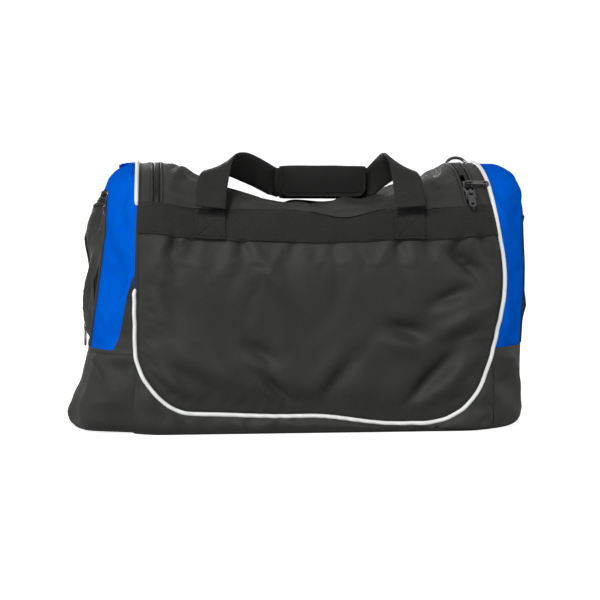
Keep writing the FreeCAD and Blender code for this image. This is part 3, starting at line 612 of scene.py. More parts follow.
def new_material(name):
    """An empty node material: (material, nodes, links, shader)."""
    material = bpy.data.materials.new(name)
    material.use_nodes = True
    nodes, links = material.node_tree.nodes, material.node_tree.links
    return material, nodes, links, nodes["Principled BSDF"]


def node(nodes, links, kind, settings=None, **inputs):
    """Adds a node; inputs are numbers, colours or sockets, by socket name or number (as _0)."""
    made = nodes.new(kind)
    for key, value in (settings or {}).items():
        setattr(made, key, value)
    for key, value in inputs.items():
        socket = made.inputs[int(key[1:])] if key[0] == "_" else made.inputs[key.replace("_", " ")]
        if isinstance(value, bpy.types.NodeSocket):
            links.new(value, socket)
        else:
            socket.default_value = value
    return made


def maths(nodes, links, operation, a, b=0.0, c=None):
    """Socket with the result of a sum on numbers or sockets."""
    values = {"_0": a, "_1": b}
    if c is not None:
        values["_2"] = c
    return node(nodes, links, "ShaderNodeMath", {"operation": operation}, **values).outputs[0]


def noise(nodes, links, place, scale, detail, roughness=0.5):
    """Socket with noise at a place."""
    return node(nodes, links, "ShaderNodeTexNoise", None, Vector=place, Scale=scale, Detail=detail,
                Roughness=roughness).outputs[0]


def mixed(nodes, links, factor, first, second):
    """Socket with a colour between two."""
    made = node(nodes, links, "ShaderNodeMix", {"data_type": "RGBA"}, Factor=factor)
    made.inputs[6].default_value = (*first, 1)
    made.inputs[7].default_value = (*second, 1)
    return made.outputs[2]


def set_inputs(made, values):
    """Sets inputs of a node by their names."""
    for key, value in values.items():
        made.inputs[key].default_value = value


def wave(nodes, links, coordinate, pitch):
    """sin of a coordinate, one turn in each pitch."""
    turned = maths(nodes, links, "MULTIPLY", coordinate, 2 * math.pi / pitch)
    return maths(nodes, links, "SINE", turned)


def weave_height(nodes, links, pitch_u, pitch_v, twill=0.0):
    """Height of a plain or ribbed weave over the cloth's own flat coordinates."""
    uv = node(nodes, links, "ShaderNodeUVMap", {"uv_map": "weave"}).outputs[0]
    split = node(nodes, links, "ShaderNodeSeparateXYZ", None, _0=uv)
    u, v = split.outputs[0], split.outputs[1]
    wander = noise(nodes, links, uv, 220.0, 2.0)
    shifted = maths(nodes, links, "MULTIPLY_ADD", wander, pitch_u * 0.5, u)
    if twill:
        shifted = maths(nodes, links, "MULTIPLY_ADD", v, twill, shifted)
    warp, weft = wave(nodes, links, shifted, pitch_u), wave(nodes, links, v, pitch_v)
    return maths(nodes, links, "MULTIPLY_ADD", maths(nodes, links, "MULTIPLY", warp, weft), 0.5, 0.5)


def cloth_material(name, dark, light, pitch=(0.0011, 0.0011), bump=0.00016, roughness=0.68, sheen=0.0,
                   coat=0.0, worn=0.12, twill=0.0, specular=0.10):
    """Woven cloth: threads, uneven dye, soft patches and rubbed high spots."""
    material, nodes, links, shader = new_material(name)
    height = weave_height(nodes, links, *pitch, twill)
    place = node(nodes, links, "ShaderNodeTexCoord").outputs["Object"]
    fine = noise(nodes, links, place, 900.0, 3.0)
    patch = noise(nodes, links, place, 14.0, 4.0, 0.6)
    threads = maths(nodes, links, "MULTIPLY_ADD", fine, 0.55, maths(nodes, links, "MULTIPLY", height, 0.45))
    dyed = mixed(nodes, links, threads, dark, light)
    spread = node(nodes, links, "ShaderNodeMapRange", None, Value=patch)
    set_inputs(spread, {"From Min": 0.3, "From Max": 0.7, "To Min": 1 - worn, "To Max": 1 + worn})
    toned = node(nodes, links, "ShaderNodeHueSaturation", None, Color=dyed, Value=spread.outputs[0])
    links.new(toned.outputs[0], shader.inputs["Base Color"])
    level = maths(nodes, links, "MULTIPLY_ADD", patch, 0.16, roughness - 0.08)
    links.new(level, shader.inputs["Roughness"])
    set_inputs(shader, {
        "Sheen Weight": sheen, "Sheen Roughness": 0.45, "Coat Weight": coat, "Coat Roughness": 0.35,
        "Specular IOR Level": specular,
    })
    raised = maths(nodes, links, "MULTIPLY_ADD", fine, 0.35, height)
    bumped = node(nodes, links, "ShaderNodeBump", None, Height=raised, Distance=bump, Strength=0.75)
    links.new(bumped.outputs[0], shader.inputs["Normal"])
    return material


def solid_material(name, colour, variation, roughness, metallic=0.0, bump=0.00002, scale=260.0, coat=0.0,
                   specular=0.5):
    """Painted metal or moulded plastic: fine orange peel, small scratches and uneven gloss."""
    material, nodes, links, shader = new_material(name)
    place = node(nodes, links, "ShaderNodeTexCoord").outputs["Object"]
    grain = noise(nodes, links, place, scale, 4.0)
    rub = noise(nodes, links, place, 70.0, 6.0, 0.7)
    links.new(mixed(nodes, links, rub, colour, variation), shader.inputs["Base Color"])
    level = maths(nodes, links, "MULTIPLY_ADD", rub, 0.18, roughness - 0.09)
    links.new(level, shader.inputs["Roughness"])
    set_inputs(shader, {
        "Metallic": metallic, "Coat Weight": coat, "Coat Roughness": 0.15, "Specular IOR Level": specular,
    })
    bumped = node(nodes, links, "ShaderNodeBump", None, Height=grain, Distance=bump, Strength=0.5)
    links.new(bumped.outputs[0], shader.inputs["Normal"])
    return material


BLACK_CLOTH = cloth_material("black_polyester_cloth", (0.009, 0.0090, 0.0088), (0.050, 0.0495, 0.0470),
                             pitch=(0.0015, 0.0015), roughness=0.56, specular=0.20)
BLUE_CLOTH = cloth_material("blue_polyester_cloth", (0.0002, 0.075, 0.46), (0.0003, 0.140, 0.80), worn=0.06,
                            roughness=0.6, specular=0.0)
WHITE_PIPING = cloth_material("white_piping_cloth", (0.80, 0.82, 0.80), (0.95, 0.96, 0.95),
                              pitch=(0.0009, 0.0007), roughness=0.45, coat=0.25, worn=0.03, sheen=0.1)
BLACK_WEBBING = cloth_material("black_webbing_weave", (0.003, 0.003, 0.003), (0.046, 0.0455, 0.0440),
                               pitch=(0.0030, 0.0024), bump=0.0006, roughness=0.55, twill=0.7)
TAPE_CLOTH = cloth_material("zip_tape_weave", (0.007, 0.007, 0.007), (0.024, 0.024, 0.024),
                            pitch=(0.0012, 0.0009), bump=0.0002)
GRIP_CLOTH = cloth_material("grip_padding_cloth", (0.008, 0.008, 0.008), (0.032, 0.0315, 0.0305),
                            pitch=(0.0009, 0.0009), sheen=0.02)
LINING_CLOTH = cloth_material("lining_polyester_cloth", (0.020, 0.020, 0.022), (0.045, 0.045, 0.048),
                              pitch=(0.0007, 0.0007), bump=0.0001, sheen=0.1, roughness=0.5)
THREAD = cloth_material("black_thread", (0.012, 0.012, 0.012), (0.05, 0.05, 0.05),
                        pitch=(0.0006, 0.0006), bump=0.0001, roughness=0.45)
COIL_NYLON = solid_material("zip_nylon_coil", (0.006, 0.006, 0.006), (0.016, 0.016, 0.016), 0.42,
                            specular=0.35)
BLACK_METAL = solid_material("black_metal_gloss", (0.030, 0.030, 0.031), (0.075, 0.075, 0.077), 0.20,
                             metallic=0.7, coat=1.0, specular=0.8)
BLACK_PLASTIC = solid_material("black_acetal_satin", (0.012, 0.012, 0.012), (0.026, 0.026, 0.026), 0.40,
                               scale=420.0)
BOARD = solid_material("base_board_fibre", (0.030, 0.028, 0.026), (0.060, 0.056, 0.050), 0.75, bump=0.0002)


def wear(obj, material):
    """Gives a piece its material."""
    obj.data.materials.clear()
    obj.data.materials.append(material)
    return obj


def place_piece(obj, material, slot, body, *replaced):
    """Material, slot (not used), body and the CAD nodes that a piece stands for."""
    wear(obj, material)
    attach(obj, body)
    if replaced:
        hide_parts(*replaced)
    return obj


# ---------------------------------------------------------------- skin patches

def upper_centre(target):
    """Ray start for the walls and the top: level with low points, then from one height."""
    return points(target[..., 0], 0, np.clip(target[..., 2], 0.1, MIDDLE))


def piping_columns(count_corner=22, count_middle=76):
    """x of the columns: even in the middle, and even along the piping's round corners."""
    straight = PIPE_X - PIPE_CORNER
    turn = np.linspace(0, math.pi / 2, count_corner)[1:]
    corner = straight + PIPE_CORNER * np.sin(turn)
    middle = np.linspace(-straight, straight, count_middle)
    return np.concatenate([-corner[::-1], middle, corner])


COLUMNS = piping_columns()


def outline_height(x):
    """Height of the piping's lower line at x."""
    beyond = np.clip((np.abs(x) - (PIPE_X - PIPE_CORNER)) / PIPE_CORNER, 0, 1)
    return PIPE_Z + PIPE_CORNER * (1 - np.sqrt(np.maximum(1 - beyond ** 2, 0)))


def wall_patches(side):
    """(panel inside the piping, strip from the piping to the middle of the base)."""
    line = on_wall(COLUMNS, outline_height(COLUMNS), side)
    level = on_wall(COLUMNS, MIDDLE, side)
    top = on_top(COLUMNS, side * FRONT_LINE)
    panel = np.concatenate([
        loft(line, level, 50, upper_centre),
        loft(level, top, 30, upper_centre)[1:],
    ])
    half = np.abs(on_wall(COLUMNS, 0.05, side)[:, 1])
    base_edge = points(COLUMNS, side * (half - BASE_EDGE), 0)
    base_line = points(COLUMNS, 0 * COLUMNS, 0)
    lower = loft(base_edge, line, 18, lambda t: points(t[..., 0], side * 0.06, 0.06))
    base = np.stack([base_line + (base_edge - base_line) * k for k in np.linspace(0, 1, 9)])
    return panel, np.concatenate([base[:-1], lower])


def plan_turn(side, angles):
    """Directions round an end in plan, from the front to the rear."""
    return np.stack([side * np.cos(angles), np.sin(angles), 0 * angles], axis=-1)


def end_centre(side, x, share, low, high):
    """Ray start for an end: share of a point's y, and its height kept between low and high."""
    return lambda t: points(side * x, t[..., 1] * share, np.clip(t[..., 2], low, high))


def end_lower_patch(side):
    """Black lower corner of an end, from the middle of the base up to the blue panel."""
    edge = on_wall(np.array([PIPE_X]), 0.1, -1)[0]
    limit = math.atan2(edge[1], PIPE_X - HUB)
    angles = np.linspace(limit, -limit, 66)
    ways = plan_turn(side, angles)
    centre = points(side * HUB, 0, 0.06) + 0 * ways
    high = cast(centre + (0, 0, GUSSET_LOW - 0.06), centre + (0, 0, GUSSET_LOW - 0.06) + ways)
    foot = cast(centre, centre + ways)
    inset = foot - ways * BASE_EDGE
    low = inset * (1, 1, 0)
    inner = points(side * PIPE_X, np.linspace(low[0, 1], low[-1, 1], len(angles)), 0)
    base = np.stack([inner + (low - inner) * k for k in np.linspace(0, 1, 7)])
    wall = loft(low, high, 26, end_centre(side, HUB, 0.25, 0.05, GUSSET_LOW))
    return np.concatenate([base[:-1], wall])


def over_top(side, count):
    """Points along the piping's line over the top, from the front to the rear."""
    start = math.atan2(0.04, 0.14)
    over = np.linspace(start, math.pi - start, count)
    target = points(side * PIPE_X, -np.cos(over), MIDDLE + np.sin(over))
    return cast(points(side * PIPE_X, 0 * over, MIDDLE), target)


def gusset_patch(side):
    """Blue end panel: a band from the piping to the pocket's mouth."""
    shoulder = POCKET_TOP - POCKET_CORNER
    bend = [(POCKET_CORNER * (1 - math.cos(t)), POCKET_TOP - POCKET_CORNER * (1 - math.sin(t)))
            for t in np.linspace(0, math.pi / 2, 18)]
    level = np.linspace(-POCKET_FRONT + POCKET_CORNER, POCKET_BACK - POCKET_CORNER, 20)[1:-1]
    mouth = [(-POCKET_FRONT, z) for z in np.linspace(GUSSET_LOW, shoulder, 30)[:-1]]
    mouth += [(-POCKET_FRONT + inset, z) for inset, z in bend]
    mouth += [(y, POCKET_TOP) for y in level]
    mouth += [(POCKET_BACK - inset, z) for inset, z in bend[::-1]]
    mouth += [(POCKET_BACK, z) for z in np.linspace(shoulder, GUSSET_LOW, 30)[1:]]
    mouth = np.array(mouth)
    inner = on_end(mouth[:, 0], mouth[:, 1], side)
    high = np.linspace(GUSSET_LOW, 0.24, 30)
    wall_front = on_wall(np.full(30, side * PIPE_X), high, -1)
    wall_rear = on_wall(np.full(30, side * PIPE_X), high[::-1], 1)
    top = over_top(side, len(mouth) * 2)
    outer = even(np.concatenate([wall_front[:-1], top, wall_rear[1:]]), 0.001)
    length = lengths(inner)
    share = np.linspace(0, 1, len(outer))
    outer = np.stack([np.interp(length / length[-1], share, column) for column in outer.T], axis=1)
    return loft(outer, inner, 18, end_centre(side, 0.20, 0.3, 0.1, MIDDLE))


def pocket_patch(side):
    """Zipped pocket front, with a corner left out where the slider parks."""
    offset = TAPE + POCKET_GAP
    front, back, top = -POCKET_FRONT + offset, POCKET_BACK - offset, POCKET_TOP - offset
    radius = POCKET_CORNER - offset
    turn = np.linspace(0, math.pi / 2, 12)
    left = front + radius * (1 - np.cos(turn))
    right = back - radius * (1 - np.cos(turn[::-1]))
    columns = np.concatenate([left, np.linspace(left[-1], right[0], 20)[1:-1], right])
    columns = np.sort(np.append(columns, POCKET_BACK - 4 * TAPE))
    from_side = np.minimum(columns - front, back - columns)
    dip = np.clip(1 - from_side / radius, 0, 1)
    ceiling = top - radius * (1 - np.sqrt(np.maximum(1 - dip ** 2, 0)))
    low = np.linspace(GUSSET_LOW + 0.001, GUSSET_LOW + 0.034, 7)
    rows = [low[k] + 0 * columns for k in range(7)]
    rows += [low[-1] + (ceiling - low[-1]) * k for k in np.linspace(0, 1, 30)[1:]]
    heights = np.stack(rows)
    return on_end(np.broadcast_to(columns, heights.shape), heights, side)


def lid_half_width(y, offset):
    """Half width of the lid's outline at y, moved in by offset."""
    back, radius, half = LID_BACK - offset, LID_CORNER - offset, LID_X - offset
    into = np.clip((y - (back - radius)) / radius, 0, 1)
    return half - radius * (1 - np.sqrt(np.maximum(1 - into ** 2, 0)))


def lid_outline(offset, spacing=0.002):
    """(x, y) along the lid's outline from the front left, round the back, to the front right."""
    back, radius, half = LID_BACK - offset, LID_CORNER - offset, LID_X - offset
    turn = np.linspace(0, math.pi / 2, 24)
    left = [(-half, y) for y in np.linspace(-FRONT_LINE, back - radius, 90)]
    round_left = [(-half + radius * (1 - math.cos(t)), back - radius + radius * math.sin(t))
                  for t in turn[1:]]
    round_right = [(-x, y) for x, y in round_left[::-1]]
    right = [(-x, y) for x, y in left[::-1]]
    return even(np.array(left + round_left + round_right + right), spacing)


def pocket_outline(offset, spacing=0.002):
    """(y, z) along a pocket's outline from the front foot, over the top, to the rear foot."""
    front, back, top = -POCKET_FRONT + offset, POCKET_BACK - offset, POCKET_TOP - offset
    radius = POCKET_CORNER - offset
    turn = np.linspace(0, math.pi / 2, 20)
    up = [(front, z) for z in np.linspace(GUSSET_LOW + 0.001, top - radius, 50)]
    over = [(front + radius * (1 - math.cos(t)), top - radius * (1 - math.sin(t))) for t in turn[1:]]
    down = [(front + back - y, z) for y, z in (up + over)[::-1]]
    return even(np.array(up + over + down), spacing)


def lid_patch():
    """Lid cloth inside its zip, running down over the front edge to the belt."""
    offset = 2 * TAPE + LID_GAP
    bend = 1 - np.cos(np.linspace(0, math.pi / 2, 10))
    y = np.concatenate([
        (LID_BACK - offset) - (LID_CORNER - offset) * bend,
        np.linspace(LID_BACK - LID_CORNER, -FRONT_LINE, 44)[1:],
    ])
    share = np.linspace(-1, 1, 96)
    half = lid_half_width(y, offset)
    top = on_top(half[:, None] * share[None, :], np.broadcast_to(y[:, None], (len(y), len(share))))
    x, start = top[-1, :, 0], top[-1, :, 2]
    hem = BELT_HIGH + 0.0015 - 0.009 * hump(0.045, 0.062, x) - 0.002 * hump(-0.16, 0.05, x)
    steps = np.linspace(0, 1, 8)[1:, None]
    height = start + (hem - start) * steps
    front = on_wall(np.broadcast_to(x, height.shape), height, -1)
    over_belt = 0.0031 * smooth(BELT_HIGH + 0.004, BELT_HIGH - 0.001, height) + 0.0006 * steps
    return top, front, over_belt


def strip_patches():
    """(left strip, right strip, rear strip) of the top, outside the main zip."""
    y = np.linspace(-FRONT_LINE, STRIP_SEAM, 44)
    sides = []
    for side in (-1, 1):
        x = np.linspace(LID_X, PIPE_X, 6) * side
        sides.append(on_top(np.broadcast_to(x, (len(y), 6)), np.broadcast_to(y[:, None], (len(y), 6))))
    inner = lid_outline(0.0, 0.003)
    inner = inner[inner[:, 1] >= STRIP_SEAM - 0.004]
    inner[0, 1] = inner[-1, 1] = STRIP_SEAM
    corner = np.array([(-PIPE_X, STRIP_SEAM), (-PIPE_X, FRONT_LINE),
                       (PIPE_X, FRONT_LINE), (PIPE_X, STRIP_SEAM)])
    length = lengths(inner)
    share = length / length[-1]
    from_turn = np.abs(inner[:, 0] + LID_X - LID_CORNER * 0.3) + (inner[:, 1] < LID_BACK - LID_CORNER)
    turn_at = share[np.argmin(from_turn)]
    stops = [0, turn_at, 1 - turn_at, 1]
    outer = np.stack([np.interp(share, stops, corner[:, k]) for k in range(2)], axis=1)
    plan = np.stack([inner + (outer - inner) * k for k in np.linspace(0, 1, 7)])
    return sides[0], sides[1], on_top(plan[..., 0], plan[..., 1])


# ---------------------------------------------------------------- cloth simulation

SIM_FRAMES = 16


def positions(mesh):
    """A mesh's points as an array."""
    flat = np.zeros(len(mesh.vertices) * 3)
    mesh.vertices.foreach_get("co", flat)
    return flat.reshape(-1, 3)


def settle_cloth(obj, plain, hold, pressure=1.6, slack=0.016, cap=0.006, extra=np.zeros((1, 3))):
    """Lets cloth fill and wrinkle between the seams that hold() keeps, then caps how far it moved."""
    extra = extra.reshape(-1, 3)
    before = positions(obj.data)
    held = hold(plain.reshape(-1, 3))
    group = obj.vertex_groups.new(name="held")
    for index, weight in enumerate(held):
        if weight > 0.001:
            group.add([index], float(weight), "REPLACE")
    cloth = obj.modifiers.new("cloth", "CLOTH")
    settings = cloth.settings
    settings.quality = 5
    settings.mass = 0.25
    settings.tension_stiffness = settings.compression_stiffness = 22
    settings.shear_stiffness = 8
    settings.bending_stiffness = 0.35
    settings.tension_damping = settings.compression_damping = 8
    settings.air_damping = 4
    settings.shrink_min = -slack
    settings.vertex_group_mass = "held"
    settings.pin_stiffness = 4
    settings.effector_weights.gravity = 0
    settings.use_pressure = True
    settings.uniform_pressure_force = pressure
    cloth.collision_settings.use_collision = False
    cloth.collision_settings.use_self_collision = False
    scene = bpy.context.scene
    cloth.point_cache.frame_start, cloth.point_cache.frame_end = 1, SIM_FRAMES
    for number in range(1, SIM_FRAMES + 1):
        scene.frame_set(number)
    finish_modifiers(obj)
    scene.frame_set(1)
    move = positions(obj.data) - before
    size = np.linalg.norm(move, axis=1, keepdims=True)
    limited = move * (cap * np.tanh(size / cap) / np.maximum(size, 1e-9)) * (1 - held[:, None])
    obj.data.vertices.foreach_set("co", (before + (limited + extra)).ravel())
    obj.data.update()
    obj.vertex_groups.clear()


SKIN = 0.0012            # thickness of the cloth


def held_wall(p):
    """Sewn down along the piping and under the belt."""
    seam = smooth(0.018, 0.005, np.abs(outline_distance(p[:, 0], p[:, 2])))
    belt = smooth(BELT_LOW - 0.012, BELT_LOW - 0.002, p[:, 2])
    return np.maximum(seam, belt)


def held_lid(p):
    """Sewn down along the zip and over the front edge."""
    edge = 2 * TAPE + LID_GAP
    side = smooth(0.022, 0.005, lid_half_width(p[:, 1], edge) - np.abs(p[:, 0]))
    back = smooth(0.022, 0.005, LID_BACK - edge - p[:, 1])
    front = smooth(-FRONT_LINE + 0.022, -FRONT_LINE + 0.006, p[:, 1])
    return np.maximum(np.maximum(side, back), front)


def held_gusset(p):
    """Sewn down along the piping, the pocket's zip and the lower seam."""
    seams = [np.abs(p[:, 0]) - PIPE_X, -pocket_distance(p[:, 1], p[:, 2]), p[:, 2] - GUSSET_LOW]
    held = [smooth(0.016, 0.005, gap) for gap in seams]
    top = smooth(0.7, 0.9, outward(p)[:, 2])
    return np.maximum(np.maximum(held[0], top), np.maximum(held[1], held[2]))


def held_flap(p):
    """Sewn down along the pocket's zip and its lower seam."""
    edge = pocket_distance(p[:, 1], p[:, 2]) - TAPE - POCKET_GAP
    return np.maximum(smooth(0.020, 0.006, edge), smooth(0.016, 0.004, p[:, 2] - GUSSET_LOW))


panel, strip = wall_patches(-1)
rear_panel, rear_strip = wall_patches(1)

for word, plain in (("front", panel), ("rear", rear_panel)):
    wall = sheet_object(word + "_panel_cloth", [dress(plain)], SKIN, outside=False)
    settle_cloth(wall, plain, held_wall, extra=deepen(plain))
    thicken(wall)
    place_piece(wall, BLACK_CLOTH, "black_polyester", "root", word + "_panel")

lower_parts = [dress(strip), dress(rear_strip), dress(end_lower_patch(-1)), dress(end_lower_patch(1))]
lower_skin = sheet_object("bottom_panel_cloth", lower_parts, SKIN, outside=False)
thicken(lower_skin)
place_piece(lower_skin, BLACK_CLOTH, "black_polyester", "root", "bottom_panel")

# Corner of a pocket where its slider parks.
BAY_Y, BAY_Z = POCKET_BACK - 4 * TAPE, GUSSET_LOW + 0.034
for word, side in ENDS:
    plain = gusset_patch(side)
    blue = sheet_object(word + "_gusset_cloth", [dress(plain)], SKIN, outside=False)
    settle_cloth(blue, plain, held_gusset, slack=0.02, pressure=1.5, cap=0.005)
    thicken(blue)
    place_piece(blue, BLUE_CLOTH, "blue_polyester", "root", word + "_gusset")
    plain = pocket_patch(side)
    flap = sheet_object(word + "_pocket_cloth", [dress(plain)], SKIN, outside=False,
                        keep=lambda c: not (c[1] > BAY_Y and c[2] < BAY_Z))
    settle_cloth(flap, plain, held_flap, slack=0.02, pressure=1.5, cap=0.004)
    thicken(flap)
    place_piece(flap, BLACK_CLOTH, "black_polyester", word + "_pocket_panel", word + "_pocket_panel")

for word, patch in zip(("left_top_strip", "right_top_strip", "rear_top_strip"), strip_patches()):
    piece = sheet_object(word + "_cloth", [dress(patch)], SKIN, outside=False)
    thicken(piece)
    place_piece(piece, BLACK_CLOTH, "black_polyester", "root", word)


def place_on_lid(obj, material, slot, *replaced):
    """A sewn part of the lid, which bends out of the front wall along the hinge line: gives it its
    material, bakes its place into its mesh and hides the CAD nodes it stands for; it is attached to no
    body.
    """
    wear(obj, material)
    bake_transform(obj)
    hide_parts(*replaced)


top_plain, front_plain, front_lift = lid_patch()
lid_dressed = np.concatenate([dress(top_plain), dress(front_plain, front_lift)])
lid_skin = sheet_object("lid_panel_cloth", [lid_dressed], SKIN, outside=False)
settle_cloth(lid_skin, np.concatenate([top_plain, front_plain]), held_lid, slack=0.022, pressure=1.0)
thicken(lid_skin)
place_on_lid(lid_skin, BLACK_CLOTH, "black_polyester", "lid_panel")


# ---------------------------------------------------------------- piping

def piping_loop():
    """Points of the form along the whole piping, from its overlap at the front round the bag."""
    straight = PIPE_X - PIPE_CORNER
    turn = np.linspace(0, math.pi / 2, 22)
    joint = -0.021
    bottom_out = [(x, PIPE_Z) for x in np.linspace(joint, straight, 40)]
    corner = [(straight + PIPE_CORNER * math.sin(t), PIPE_Z + PIPE_CORNER * (1 - math.cos(t)))
              for t in turn[1:]]
    rise = [(PIPE_X, z) for z in np.linspace(PIPE_Z + PIPE_CORNER, 0.24, 30)[1:]]
    front_right = np.array(bottom_out + corner + rise)
    up = on_wall(front_right[:, 0], front_right[:, 1], -1)
    top_right = over_top(1, 120)
    whole = np.array(bottom_out[8:] + corner + rise)
    rear_down = on_wall(whole[::-1, 0], whole[::-1, 1], 1)
    rear_up = on_wall(-whole[:, 0], whole[:, 1], 1)
    middle = on_wall(np.linspace(0, -0.02, 4)[1:-1], PIPE_Z, 1)
    top_left = top_right[::-1] * (-1, 1, 1)
    left = np.array([(-x, z) for x, z in (bottom_out[8:] + corner + rise)[::-1]])
    down = on_wall(left[:, 0], left[:, 1], -1)
    return np.concatenate([up, top_right[1:-1], rear_down, middle, rear_up, top_left[1:-1], down])


def trim_frame(path, lift):
    """(dressed path, across, outward) of something that follows the skin along a path."""
    centre = dress(path, lift)
    along = along_path(centre)
    up = outward(path)
    across = unit(np.cross(along, up))
    return centre, across, np.cross(across, along)


PIPING_CORD = 0.0026     # radius of the visible cord
PIPING_LIFT = 0.0013     # its middle above the skin
PIPING_SUNK = 0.0068     # how deep its upper left length lies in the seam

loop = even(piping_loop(), 0.004)
at_left = smooth(-0.10, -0.12, loop[:, 1]) * smooth(-0.20, -0.22, loop[:, 0])
sunk = at_left * smooth(0.176, 0.188, loop[:, 2]) * smooth(0.284, 0.272, loop[:, 2])
centre, across, up = trim_frame(loop, PIPING_LIFT - PIPING_SUNK * sunk)
piping = sweep("piping_cord", centre, across, up, round_profile(PIPING_CORD, 12))
place_piece(piping, WHITE_PIPING, "piping_white", "root", "piping")


def spur():
    """Black cloth that rises beside the left piping out of the lower corner, tapering to nothing."""
    share = np.linspace(0, 1, 26)[:, None]
    edge_x, high = PIPE_X + 0.0005, GUSSET_LOW - 0.004 + 0.098 * share
    width = 0.021 * (1 - share) ** 0.9 + 0.0004
    x = -(edge_x + width * np.linspace(0, 1, 5)[None, :])
    return on_wall(x, np.broadcast_to(high, x.shape), -1)


spur_piece = thicken(sheet_object("left_spur_cloth", [dress(spur(), 0.0006)], THIN_CLOTH, outside=False))
place_piece(spur_piece, BLACK_CLOTH, "black_polyester", "root")


# ---------------------------------------------------------------- belts and handle tabs

def wall_band(name, x0, x1, z0, z1, side, lift, thickness, columns):
    """Webbing sewn flat on a wall, from x0 to x1 and z0 to z1."""
    x = np.linspace(x0, x1, columns)
    z = np.linspace(z0, z1, 9)
    grid = on_wall(np.broadcast_to(x, (9, columns)), np.broadcast_to(z[:, None], (9, columns)), side)
    ripple = 0.0009 * rough(grid * (1, 1, 0.3) + 0.5, 0.030)
    return thicken(sheet_object(name, [dress(grid, lift + ripple)], thickness))


for word, side in WALLS:
    belt_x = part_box(word + "_band")[1].x
    belt = wall_band(word + "_belt", -belt_x, belt_x, BELT_LOW, BELT_HIGH, side, 0.0002, BELT_THICK, 150)
    place_piece(belt, BLACK_WEBBING, "black_webbing", "root", word + "_band")
    for sign in (-1, 1):
        middle = sign * HANDLE_X
        low, high = BELT_LOW + 0.002, BELT_HIGH - 0.002
        foot = wall_band(f"{word}_handle_foot_{'left' if sign < 0 else 'right'}", middle - WEBBING / 2,
                         middle + WEBBING / 2, low, high, side, 0.0024, FOOT_THICK, 16)
        place_piece(foot, BLACK_WEBBING, "black_webbing", "root", word + "_handle_tabs")

facing = wall_band("front_belt_facing", -0.200, 0.200, BELT_HIGH - 0.016, BELT_HIGH + 0.013,
                   -1, -0.0030, THIN_CLOTH, 120)
place_piece(facing, BLACK_CLOTH, "black_polyester", "root")


# ---------------------------------------------------------------- handles

front_loop = webbing("front_handle_webbing", [
    ((-0.125, -0.157, 0.285), (1, 0, 0)),
    ((-0.121, -0.147, 0.317), (1, 0, 0.1)),
    ((-0.112, -0.125, 0.335), (1, -0.1, 0.45)),
    ((-0.093, -0.093, 0.339), (0.8, -0.2, 0.9)),
    ((-0.066, -0.056, 0.330), (0.3, 0, 1)),
    ((-0.0365, -0.030, 0.315), (0, 0, 1)),
    ((-0.0305, -0.030, 0.315), (0, 0, 1)),
    ((0.0845, -0.030, 0.315), (0, 0, 1)),
    ((0.0895, -0.030, 0.315), (0, 0, 1)),
    ((0.103, -0.056, 0.330), (-0.3, 0, 1)),
    ((0.112, -0.090, 0.339), (-0.8, -0.2, 0.9)),
    ((0.118, -0.124, 0.335), (-1, -0.1, 0.45)),
    ((0.122, -0.147, 0.317), (-1, 0, 0.1)),
    ((0.125, -0.157, 0.285), (-1, 0, 0)),
], WEBBING, HANDLE_THICK)
place_piece(front_loop, BLACK_WEBBING, "black_webbing", "front_handle", "front_handle")

rear_loop = webbing("rear_handle_webbing", [
    ((-0.125, 0.157, 0.285), (1, 0, 0)),
    ((-0.124, 0.160, 0.230), (1, 0, 0.05)),
    ((-0.114, 0.162, 0.178), (1, 0, 0.4)),
    ((-0.084, 0.164, 0.138), (0.7, 0, 0.7)),
    ((-0.040, 0.165, 0.122), (0.25, 0, 1)),
    ((0.040, 0.165, 0.122), (-0.25, 0, 1)),
    ((0.084, 0.164, 0.138), (-0.7, 0, 0.7)),
    ((0.114, 0.162, 0.178), (-1, 0, 0.4)),
    ((0.124, 0.160, 0.230), (-1, 0, 0.05)),
    ((0.125, 0.157, 0.285), (-1, 0, 0)),
], WEBBING, HANDLE_THICK)
place_piece(rear_loop, BLACK_WEBBING, "black_webbing", "rear_handle", "rear_handle")


# ---------------------------------------------------------------- shoulder strap

strap = webbing("shoulder_strap_webbing", [
    ((0.2828, 0.1075, 0.3136), (0, 1, 0)),
    ((0.290, 0.108, 0.303), (0, 1, 0)),
    ((0.295, 0.111, 0.275), (0, 1, 0)),
    ((0.298, 0.114, 0.236), (0, 1, 0)),
    ((0.301, 0.117, 0.182), (0, 1, 0)),
    ((0.2995, 0.119, 0.128), (0, 1, 0)),
    ((0.294, 0.121, 0.052), (0, 1, 0)),
    ((0.288, 0.136, 0.030), (-0.3, 1, 0.3)),
    ((0.266, 0.158, 0.023), (-0.35, 0.45, 0.8)),
    ((0.228, 0.170, 0.021), (-0.05, 0.1, 1)),
    ((0.120, 0.174, 0.0205), (0, 0, 1)),
    ((0.000, 0.174, 0.0205), (0, 0, 1)),
    ((-0.100, 0.173, 0.021), (0, 0, 1)),
    ((-0.150, 0.171, 0.030), (0.3, 0, 1)),
    ((-0.190, 0.168, 0.066), (0.85, 0, 0.75)),
    ((-0.212, 0.164, 0.120), (1, 0, 0.35)),
    ((-0.224, 0.160, 0.190), (1, 0, 0.1)),
    ((-0.228, 0.159, 0.260), (1, 0, 0)),
    ((-0.229, 0.158, 0.287), (1, 0, 0)),
    ((-0.229, 0.1538, 0.2972), (1, 0, 0)),
], WEBBING, STRAP_THICK)
place_piece(strap, BLACK_WEBBING, "black_webbing", "shoulder_strap", "shoulder_strap")

# ---------------------------------------------------------------- zips

TOOTH = 0.0016           # pitch of the coil's teeth
TOOTH_ROW = 0.0012       # middle of a row of teeth beside the middle of the zip
MAIN_TOOTH, POCKET_TOOTH = 0.0026, 0.0028      # length of a tooth
FINE = 0.001             # spacing of the points that teeth are placed on


